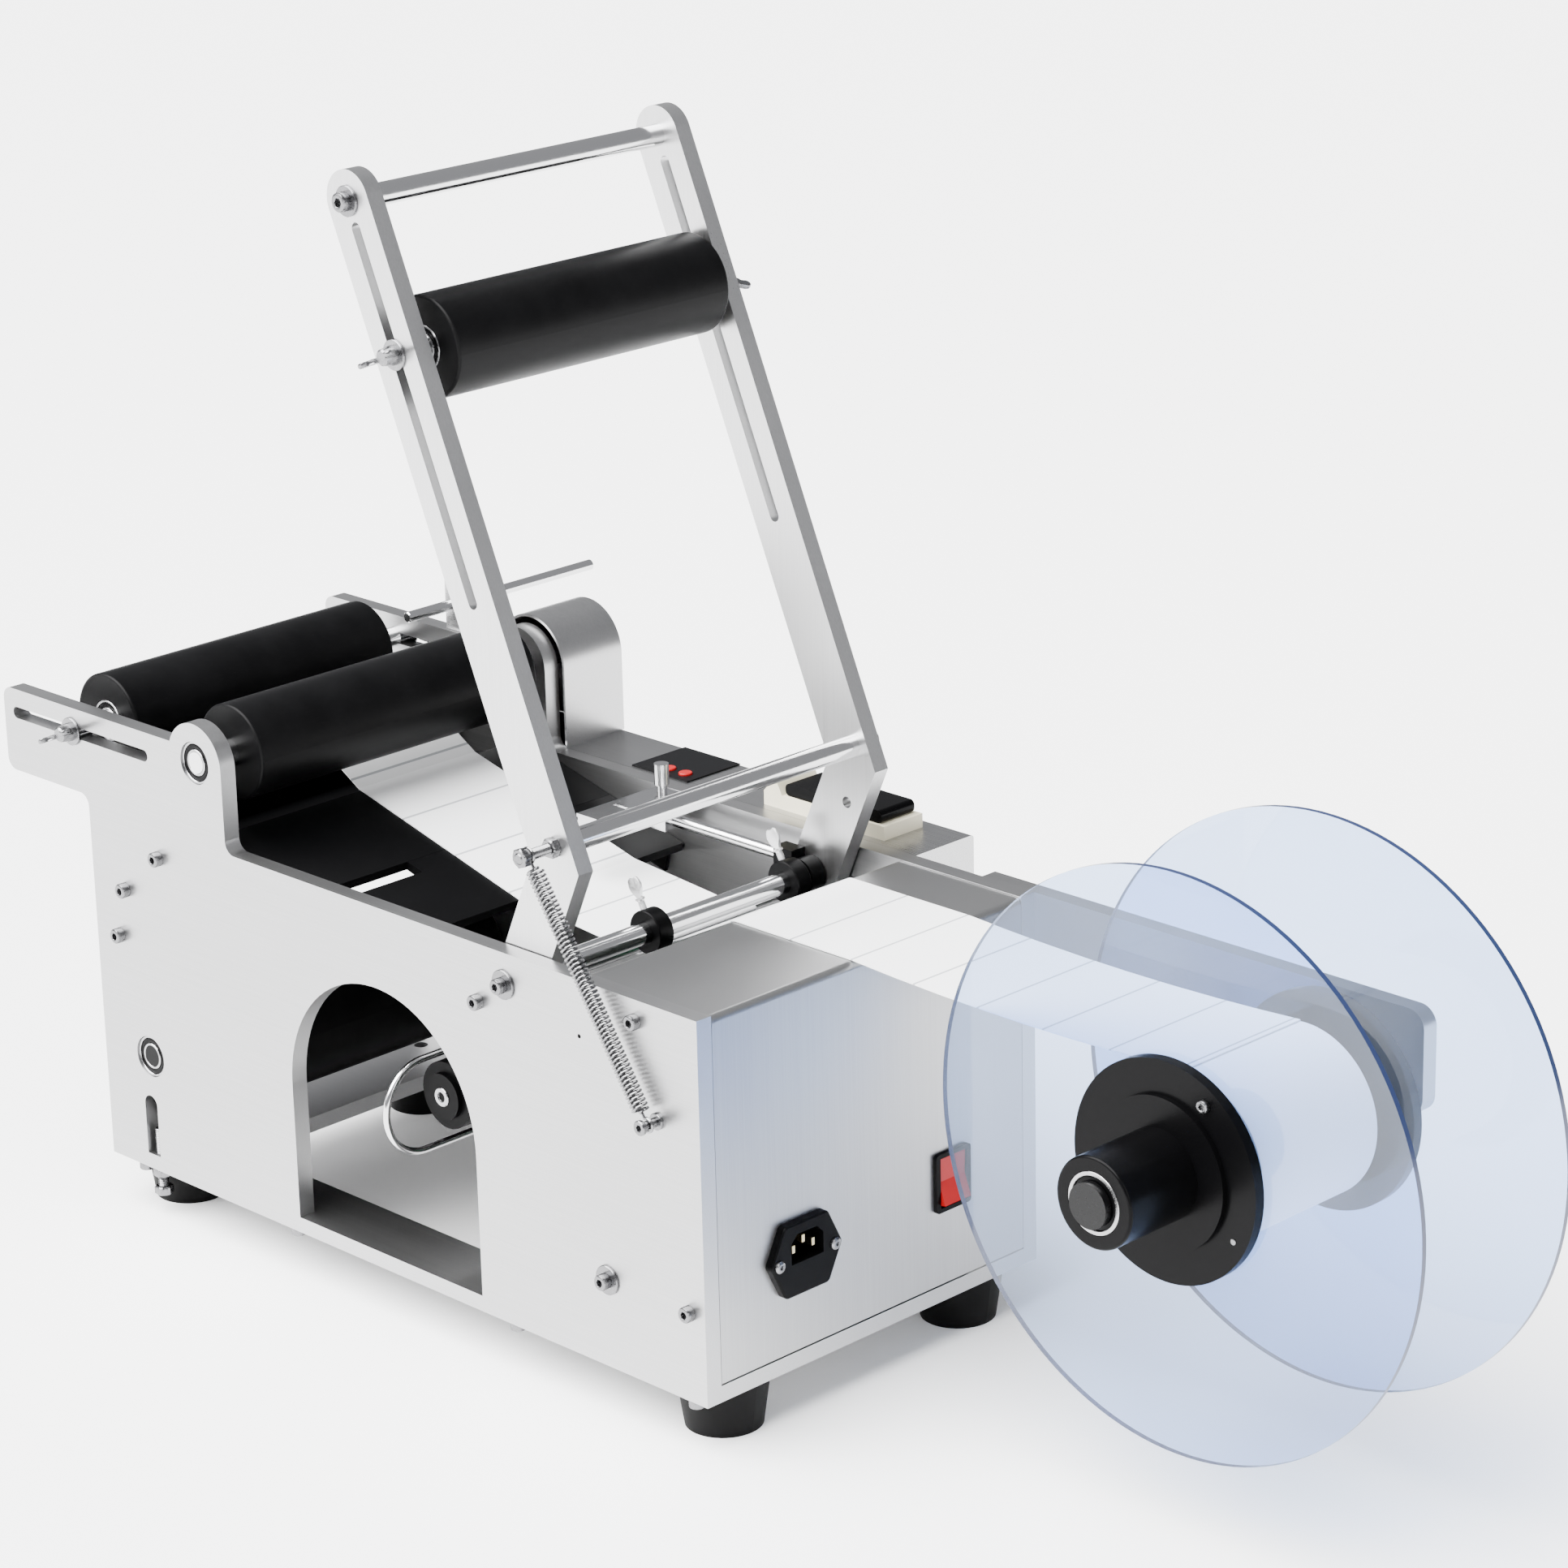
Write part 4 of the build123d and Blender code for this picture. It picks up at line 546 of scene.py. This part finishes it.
def hex_nut(mesh, frame_of, base, height=5.0, flats=9.5, bore=3.0):
    """Chamfered nut from a height upwards."""
    side = hexagon(flats)
    turned(mesh, frame_of, [
        (bore, base), (0.47 * flats, base), (side, base + 0.6), (side, base + height - 0.6),
        (0.47 * flats, base + height), (bore, base + height),
    ])


def thread(start, end, radius, pitch=0.8):
    """Profile of a threaded stretch of a rod."""
    turns = int((end - start) / pitch)
    points = []
    for k in range(turns):
        points += [(radius, start + k * pitch), (radius - 0.32, start + (k + 0.5) * pitch)]
    return points + [(radius, end)]


cross_screws = [(465.5, 128.5), (458.0, 157.0), (426.0, 183.0)]
cover_screws = [(44.1, 188.5), (10.7, 40.5)]
guide_bar = (162.2, 168.3)
pivot = (142.0, 182.7)
tie_rod = (71.0, 40.0)
anchor = (30.0, 139.0)
arm_top = (247.6, 571.6)
arm_knee = (111.6, 250.2)
lower_bar = (111.0, 261.5)
reel_axis = (-reel_offset, reel_up)
near_arm = 11.0
far_arm = outer_width - near_arm
stand_off = 7.0
adjuster_back = 448.5
foot_screw_backs = (463.0, 328.0, 148.0, 13.0)
reel_arm_screw_heights = (185.0, 160.0)
inlet_screws = (48.0, 88.0)
inlet_height = 54.0
plate_middles = (near_face + plate_thickness / 2, far_face - plate_thickness / 2)

screws = bmesh.new()
for place in cross_screws + cover_screws + [guide_bar]:
    grip = 12.0 if place in cover_screws else 17.0
    cap_screw(screws, facing(place, 0), screw_radius, grip)
    cap_screw(screws, facing(place, outer_width, away=True), screw_radius, grip)
for place in (pivot, tie_rod):
    cap_screw(screws, facing(place, 0), screw_radius, 17.0, washer_thickness)
    cap_screw(screws, facing(place, outer_width, away=True), screw_radius, 17.0, washer_thickness)
for back_of in foot_screw_backs:
    for y in plate_middles:
        cap_screw(screws, upright((end_x - back_of, y), foot_height, down=True), screw_radius, 16.0)
for up_of in reel_arm_screw_heights:
    cap_screw(screws, facing((22.0, up_of), outer_width + reel_arm_thickness, away=True), screw_radius, 19.0)
for y in inlet_screws:
    outward = Matrix.Translation(at(-inlet_flange, y, inlet_height)) @ Matrix.Rotation(math.pi / 2, 4, "Y")
    turned(screws, outward @ Matrix.Scale(MM, 4), [
        (0, -8), (1.7, -8), (1.7, 0), (3.4, 0), (3.3, 0.8), (2.6, 1.5), (1.8, 1.7), (1.2, 1.7),
        (hexagon(2.0), 1.5), (hexagon(2.0), 0.7), (0, 0.5),
    ])
anchor_end = 2 * stand_off - 2
turned(screws, facing(anchor, 0), [
    (0, -9), (2.5, -9), (2.5, 0), (4.5, 0), (4.5, 1.5), (4.2, 1.8), (2.5, 1.8), (2.5, anchor_end - 1.2),
    (3.8, anchor_end - 1.2), (4.0, anchor_end - 0.9), (4.0, anchor_end + 0.7), (3.5, anchor_end + 1.2),
    (2.2, anchor_end + 1.2), (hexagon(3.4), anchor_end + 1.0), (hexagon(3.4), anchor_end - 0.6),
    (0, anchor_end - 0.8),
])
finished(screws, "frame_screws_detail", "frame", [screw_metal], ["frame_screws"])

screws = bmesh.new()
cap_screw(screws, facing(arm_top, near_arm), stud_radius, 17.0, washer_thickness)
for place in (arm_top, lower_bar):
    cap_screw(screws, facing(place, far_arm, away=True), stud_radius, 17.0, washer_thickness)
stud_length = near_arm + 2 * stand_off
turned(screws, facing(lower_bar, near_arm), [
    (0, -17), (2.8, -17), *thread(-16.6, stud_length - 0.8, stud_radius), (2.3, stud_length), (0, stud_length),
])
hex_nut(screws, facing(lower_bar, near_arm), 0.0)
hex_nut(screws, facing(lower_bar, near_arm, turn=20), stud_length - 5.5)
finished(screws, "arm_screws_detail", "arms", [screw_metal], ["arm_screws"])

screws = bmesh.new()
for y in plate_middles:
    standing = upright((end_x - adjuster_back, y), foot_height - 16.0)
    turned(screws, standing, [(0, 0), (2.6, 0)] + thread(0.5, 39.4, stud_radius) + [(2.5, 40.0), (0, 40.0)])
    hex_nut(screws, standing, 0.0)
    hex_nut(screws, standing, 11.0)
finished(screws, "adjusting_screws_detail", "frame", [screw_metal], ["adjusting_screws"])

# Wing screws that clamp the press roller and the front roller
press_way = (Vector(arm_knee) - Vector(arm_top)).normalized()
press_place = Vector(arm_top) + press_way * 80.2
wing_tip = (14.0, 12.6)
wing_crown = (9.6, 15.2)
wing_outline = (
    bezier((3.4, 3.6), (10.2, 5.2), wing_tip) + bezier(wing_tip, (13.6, 16.0), wing_crown, 5)
    + bezier(wing_crown, (8.0, 9.0), (3.4, 9.2))
)
wing_turn = 25
wing_play = 0.05
for name, place, near_seat, far_seat in (
    ("press", tuple(press_place), near_arm, far_arm), ("front", front_place, 0.0, outer_width),
):
    screws = bmesh.new()
    for seat in (
        facing(place, near_seat - wing_play, turn=wing_turn),
        facing(place, far_seat + wing_play, away=True, turn=wing_turn),
    ):
        turned(screws, seat, [
            (2.9, 0), (7.7, 0), (8.0, 0.3), (8.0, 1.2), (7.7, 1.5), (5.2, 1.5), (5.0, 4.0), (4.3, 8.6),
            (3.4, 9.4), (0, 9.5),
        ])
        turned(screws, seat, [(0, -20), (2.6, -20)] + thread(-19.6, -0.4, 2.9) + [(2.9, 0.2)])
        for half_turn in (0.0, math.pi):
            extruded(screws, seat @ Matrix.Rotation(half_turn, 4, "Z"), wing_outline, 2.6, 0.8)
    finished(
        screws, f"{name}_wings_detail", f"{name}_carriage", [wing_metal],
        [f"{name}_wing_screws"],
    )

# Label guide collars with their thumb screws
collar_radius = 12.0
collar_width = 10.0
thumb_lean = -28
thumb_outline = (
    bezier((1.2, -1.0), (2.6, 3.0), (4.5, 5.0), 4) + bezier((4.5, 5.0), (5.2, 11.0), (2.2, 11.9), 5)
    + bezier((2.2, 11.9), (0.0, 9.2), (-2.2, 11.9), 4) + bezier((-2.2, 11.9), (-5.2, 11.0), (-4.5, 5.0), 5)
    + bezier((-4.5, 5.0), (-2.6, 3.0), (-1.2, -1.0), 4)
)
for name, body, start in (("collar_near", "near_guide", 99.0), ("collar_far", "far_guide", 201.0)):
    collar = bmesh.new()
    ring = facing(pivot, start, away=True)
    turned(collar, ring, [
        (bore_radius, 0), (collar_radius - 0.6, 0), (collar_radius, 0.6), (collar_radius, collar_width - 0.6),
        (collar_radius - 0.6, collar_width), (bore_radius, collar_width), (bore_radius, 0),
    ], 64)
    middle = Matrix.Translation(at(pivot[0], start + collar_width / 2, pivot[1]))
    lean = middle @ Matrix.Rotation(math.radians(thumb_lean), 4, "Y") @ Matrix.Scale(MM, 4)
    turned(collar, lean, [
        (0, 9.0), (2.0, 9.0), *thread(9.4, 17.0, 2.0, 0.6), (2.6, 17.2), (2.6, 18.4), (0, 18.6),
    ], 32, 1)
    outward = lean @ Matrix.Translation((0, 0, collar_radius + 6.0))
    extruded(collar, outward, thumb_outline, 1.7, 0.5, 1)
    finished(collar, f"{name}_detail", body, [black_enamel, thumb_metal], [name])

# Screws on the reel's flange and on the rewind spindle
hub_face = 92.0
details = bmesh.new()
cap_screw(details, facing((-246.6, 196.1), hub_face), 2.0, 3.0, height=3.2)
turned(details, facing((-264.4, 132.3), hub_face), [
    (0, -1), (1.6, -1), (1.6, 0.3), (1.2, 0.5), (0.7, 0.5), (0, 0.2),
], 24)
finished(details, "hub_screws", "reel", [screw_metal])
details = bmesh.new()
turned(details, facing(rewind_place, 42.0), [
    (0, -1), (5.4, -1), (5.4, 0.5), (5.0, 0.9), (3.0, 0.9), (2.7, 0.4), (2.4, -0.4), (0, -0.6),
])
finished(details, "rewind_screw", "rewinder", [bearing_metal])


# ---------------------------------------------------------------- bearings
def bearing_end(mesh, frame_of, outer, inner, depth):
    """Races with a chamfer and a dark shield between them, from their outer face inwards."""
    race = (outer - inner) * 0.24
    turned(mesh, frame_of, [
        (outer, -depth), (outer, -0.4), (outer - 0.4, 0), (outer - race + 0.3, 0), (outer - race, -0.3),
        (outer - race, -depth),
    ], 64)
    turned(mesh, frame_of, [
        (inner + race, -depth), (inner + race, -0.3), (inner + race - 0.3, 0), (inner + 0.3, 0),
        (inner, -0.3), (inner, -depth),
    ], 64)
    turned(mesh, frame_of, [
        (outer - race, -0.9), (outer - race - 0.5, -0.6), (inner + race + 0.5, -0.6), (inner + race, -0.9),
    ], 64, 1)


bearing_look = [bearing_metal, black_plastic]
near_seats = ((1.0, False), (9.0, True))
far_seats = ((outer_width - 9.0, False), (outer_width - 1.0, True))
bearings = bmesh.new()
for place, seats in (
    (drive_place, near_seats + far_seats), (traction_place, near_seats + far_seats), (rewind_place, far_seats),
):
    for seat, away in seats:
        bearing_end(bearings, facing(place, seat, away=away), bearing_radius, bore_radius, 4.0)
finished(bearings, "plate_bearings_detail", "frame", bearing_look, ["plate_bearings"])

bearings = bmesh.new()
for seat, away in ((42.0, False), (52.0, True), (206.5, False), (216.5, True)):
    bearing_end(bearings, facing(reel_axis, seat, away=away), reel_bearing_radius, bore_radius, 5.0)
finished(bearings, "reel_bearings_detail", "reel", bearing_look, ["reel_bearings"])

tube_inset = 7.0
tube_bore = 11.0
for name, place, start, length in (
    ("press", tuple(press_place), 30.0, 188.5), ("front", front_place, 25.0, 187.0),
):
    core = bmesh.new()
    for seat, away in ((start, False), (start + length, True)):
        bearing_end(core, facing(place, seat, away=away), bearing_radius, bore_radius, 8.0)
    tube = length - 2 * tube_inset
    turned(core, facing(place, start + tube_inset, away=True), [
        (bearing_radius, 0), (bearing_radius, tube), (tube_bore, tube), (tube_bore, 0), (bearing_radius, 0),
    ], 64)
    finished(core, f"{name}_core_detail", f"{name}_roll", bearing_look, [f"{name}_core"])

# ---------------------------------------------------------------- return spring
wire_radius = 0.85
coil_radius = 4.75 - wire_radius
coil_pitch = 2.35
spring_neck = 6.5
spring_steps = 14
eye_steps = 16
coil_run_in = 0.75
eye_radii = (stud_radius + 0.15 + 0.9, screw_radius + 0.15 + 0.9)


def spring_path():
    """Hook, neck, coil, neck and hook, in metres."""
    top = at(lower_bar[0], -stand_off, lower_bar[1])
    foot = at(anchor[0], -stand_off, anchor[1])
    way = (foot - top).normalized()
    length = (foot - top).length / MM
    across = Vector((way.z, 0, -way.x))
    out = Vector((0, 1, 0))
    turns = round((length - 2 * spring_neck) / coil_pitch)
    pitch = (length - 2 * spring_neck) / turns
    path = []
    for k in range(eye_steps + 1):
        angle = math.radians(50 + 310 * k / eye_steps)
        path.append(top + (way * math.cos(angle) + across * math.sin(angle)) * eye_radii[0] * MM)
    for k in range(turns * spring_steps + 1):
        turn = k / spring_steps
        grow = min(1.0, turn / coil_run_in, (turns - turn) / coil_run_in)
        grow = grow * grow * (3 - 2 * grow)
        spoke = across * math.cos(math.tau * turn) + out * math.sin(math.tau * turn)
        path.append(top + way * (spring_neck + pitch * turn) * MM + spoke * coil_radius * grow * MM)
    for k in range(eye_steps + 1):
        angle = math.radians(310 * k / eye_steps)
        path.append(foot - (way * math.cos(angle) + across * math.sin(angle)) * eye_radii[1] * MM)
    return path, top, foot


coil = bmesh.new()
path, spring_top, spring_foot = spring_path()
wire(coil, path, wire_radius * MM)
spring_piece = finished(coil, "spring_coil", None, [spring_metal], ["spring"])
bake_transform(spring_piece)

# ---------------------------------------------------------------- bottle stop
stop_place = (440.0, 273.0)
stop_rod_start = 197.0
stop_rod_radius = 3.2
stop_rod_length = 143.0
stop_block_top = 288.7
rod = bmesh.new()
turned(rod, facing(stop_place, stop_rod_start, away=True), [
    (0, 0), (stop_rod_radius - 0.6, 0), (stop_rod_radius, 0.6), (stop_rod_radius, stop_rod_length - 0.6),
    (stop_rod_radius - 0.6, stop_rod_length), (0, stop_rod_length),
])
finished(rod, "stop_rod_detail", "bottle_stop", [bar_metal], ["stop_rod"])
guide = bmesh.new()
block_outline = [
    (-13, 254.7), (13, 254.7), (13, stop_block_top - 1), (12, stop_block_top), (-12, stop_block_top),
    (-13, stop_block_top - 1),
]
block_frame = Matrix.Translation(at(stop_place[0], outer_width + 2.0, 0)) @ Matrix.Scale(MM, 4)
extruded(guide, block_frame, block_outline, 20.0, 0.6)
clamp_frame = Matrix.Translation(at(stop_place[0], outer_width + 2.0, stop_block_top)) @ Matrix.Scale(MM, 4)
cap_screw(guide, clamp_frame, 2.4, 6.0)
finished(guide, "stop_block_detail", "frame", [sheet_metal], ["stop_block"])

# Peel plate: its thin edge, a slot as far as slot_end, the part behind the slot, and two flanges
peel_left = Vector((-385.0, 203.0))
peel_right = Vector((-255.0, 170.0))
peel_way = (peel_right - peel_left).normalized()
peel_down = Vector((peel_way.y, -peel_way.x))
peel_length = (peel_right - peel_left).length
slot_from = 72.7
slot_to = 85.1
slot_end = 84.0
peel_thickness = 5.0
flange_thickness = 3.0
near_side = 10.2
far_side = outer_width - near_side


def on_peel(*places):
    """Outline points from distances along the peel plate and below it."""
    return [tuple(peel_left + peel_way * along + peel_down * below) for along, below in places]


peel = bmesh.new()
across_frame = Matrix.Translation(at(0, outer_width / 2, 0)) @ Matrix.Scale(MM, 4)
width = far_side - near_side
edge_leaf = on_peel((0, 0), (slot_from, 0), (slot_from, peel_thickness), (10, peel_thickness))
rear_leaf = on_peel((slot_to, 0), (peel_length, 0), (peel_length, peel_thickness), (slot_to, peel_thickness))
for leaf in (edge_leaf, rear_leaf):
    extruded(peel, across_frame, leaf, width, 0.3)
bridge_frame = Matrix.Translation(at(0, (slot_end + far_side - 0.3) / 2, 0)) @ Matrix.Scale(MM, 4)
bridge = on_peel((slot_from - 0.4, 0.1), (slot_to + 0.4, 0.1), (slot_to + 0.4, 4.9), (slot_from - 0.4, 4.9))
extruded(peel, bridge_frame, bridge, far_side - 0.3 - slot_end)
for y in (near_side + flange_thickness / 2, far_side - flange_thickness / 2):
    flange_frame = Matrix.Translation(at(0, y, 0)) @ Matrix.Scale(MM, 4)
    extruded(peel, flange_frame, on_peel((40, 4), (126, 4), (126, 22), (40, 22)), flange_thickness, 0.3)
finished(peel, "peel_plate_detail", "frame", [black_enamel], ["peel_plate"])

# Upper part of the black cross plate, behind the drive roller
wall = bmesh.new()
extruded(wall, across_frame, [(-456.5, 171.0), (-450.6, 169.6), (-443.0, 203.6), (-448.6, 205.0)], 224.4, 0.4)
finished(wall, "cross_crest", "frame", [black_enamel])

# ---------------------------------------------------------------- stage
WORLD_STRENGTH = 0.45
SUN_STRENGTH = 20.0
FLOOR_GLOW = 0.12
FLOOR_REACH = 9.0
LEFT_WATTS = 60
RIGHT_WATTS = 30

world = bpy.data.worlds.new("studio")
bpy.context.scene.world = world
world.use_nodes = True
sky = world.node_tree.nodes["Background"]
sky.inputs["Color"].default_value = (0.95, 0.96, 1.0, 1)
sky.inputs["Strength"].default_value = WORLD_STRENGTH

floor_mesh = bpy.data.meshes.new("floor")
corners = [(FLOOR_REACH * x, FLOOR_REACH * y, 0) for x, y in ((-1, -1), (1, -1), (1, 1), (-1, 1))]
floor_mesh.from_pydata(corners, [], [(0, 1, 2, 3)])
floor = bpy.data.objects.new("floor", floor_mesh)
bpy.context.scene.collection.objects.link(floor)
floor_look = Shader("floor_look")
floor_shader = floor_look.principled((0.93, 0.93, 0.93), 0.0, 0.7)
floor_shader.inputs["Specular IOR Level"].default_value = 0.2
floor_shader.inputs["Emission Color"].default_value = (1, 1, 1, 1)
floor_shader.inputs["Emission Strength"].default_value = FLOOR_GLOW
floor_mesh.materials.append(floor_look.material)


def area_light(name, place, target, size, power):
    """A soft box at a place, turned to a target, in metres and watts."""
    data = bpy.data.lights.new(name, "AREA")
    data.shape = "RECTANGLE"
    data.size, data.size_y = size
    data.energy = power
    lamp = bpy.data.objects.new(name, data)
    bpy.context.scene.collection.objects.link(lamp)
    lamp.location = place
    lamp.rotation_euler = (Vector(target) - Vector(place)).to_track_quat("-Z", "Y").to_euler()


sun_data = bpy.data.lights.new("sky_light", "SUN")
sun_data.energy = SUN_STRENGTH
sun_data.angle = math.radians(70)
sun = bpy.data.objects.new("sky_light", sun_data)
bpy.context.scene.collection.objects.link(sun)
sun.rotation_euler = (math.radians(28), math.radians(-16), 0)
area_light("left_box", (-1.7, -2.2, 1.6), (0, 0, 0.25), (1.8, 1.8), LEFT_WATTS)
area_light("right_box", (2.6, -0.4, 1.3), (0.1, 0, 0.2), (1.2, 1.6), RIGHT_WATTS)
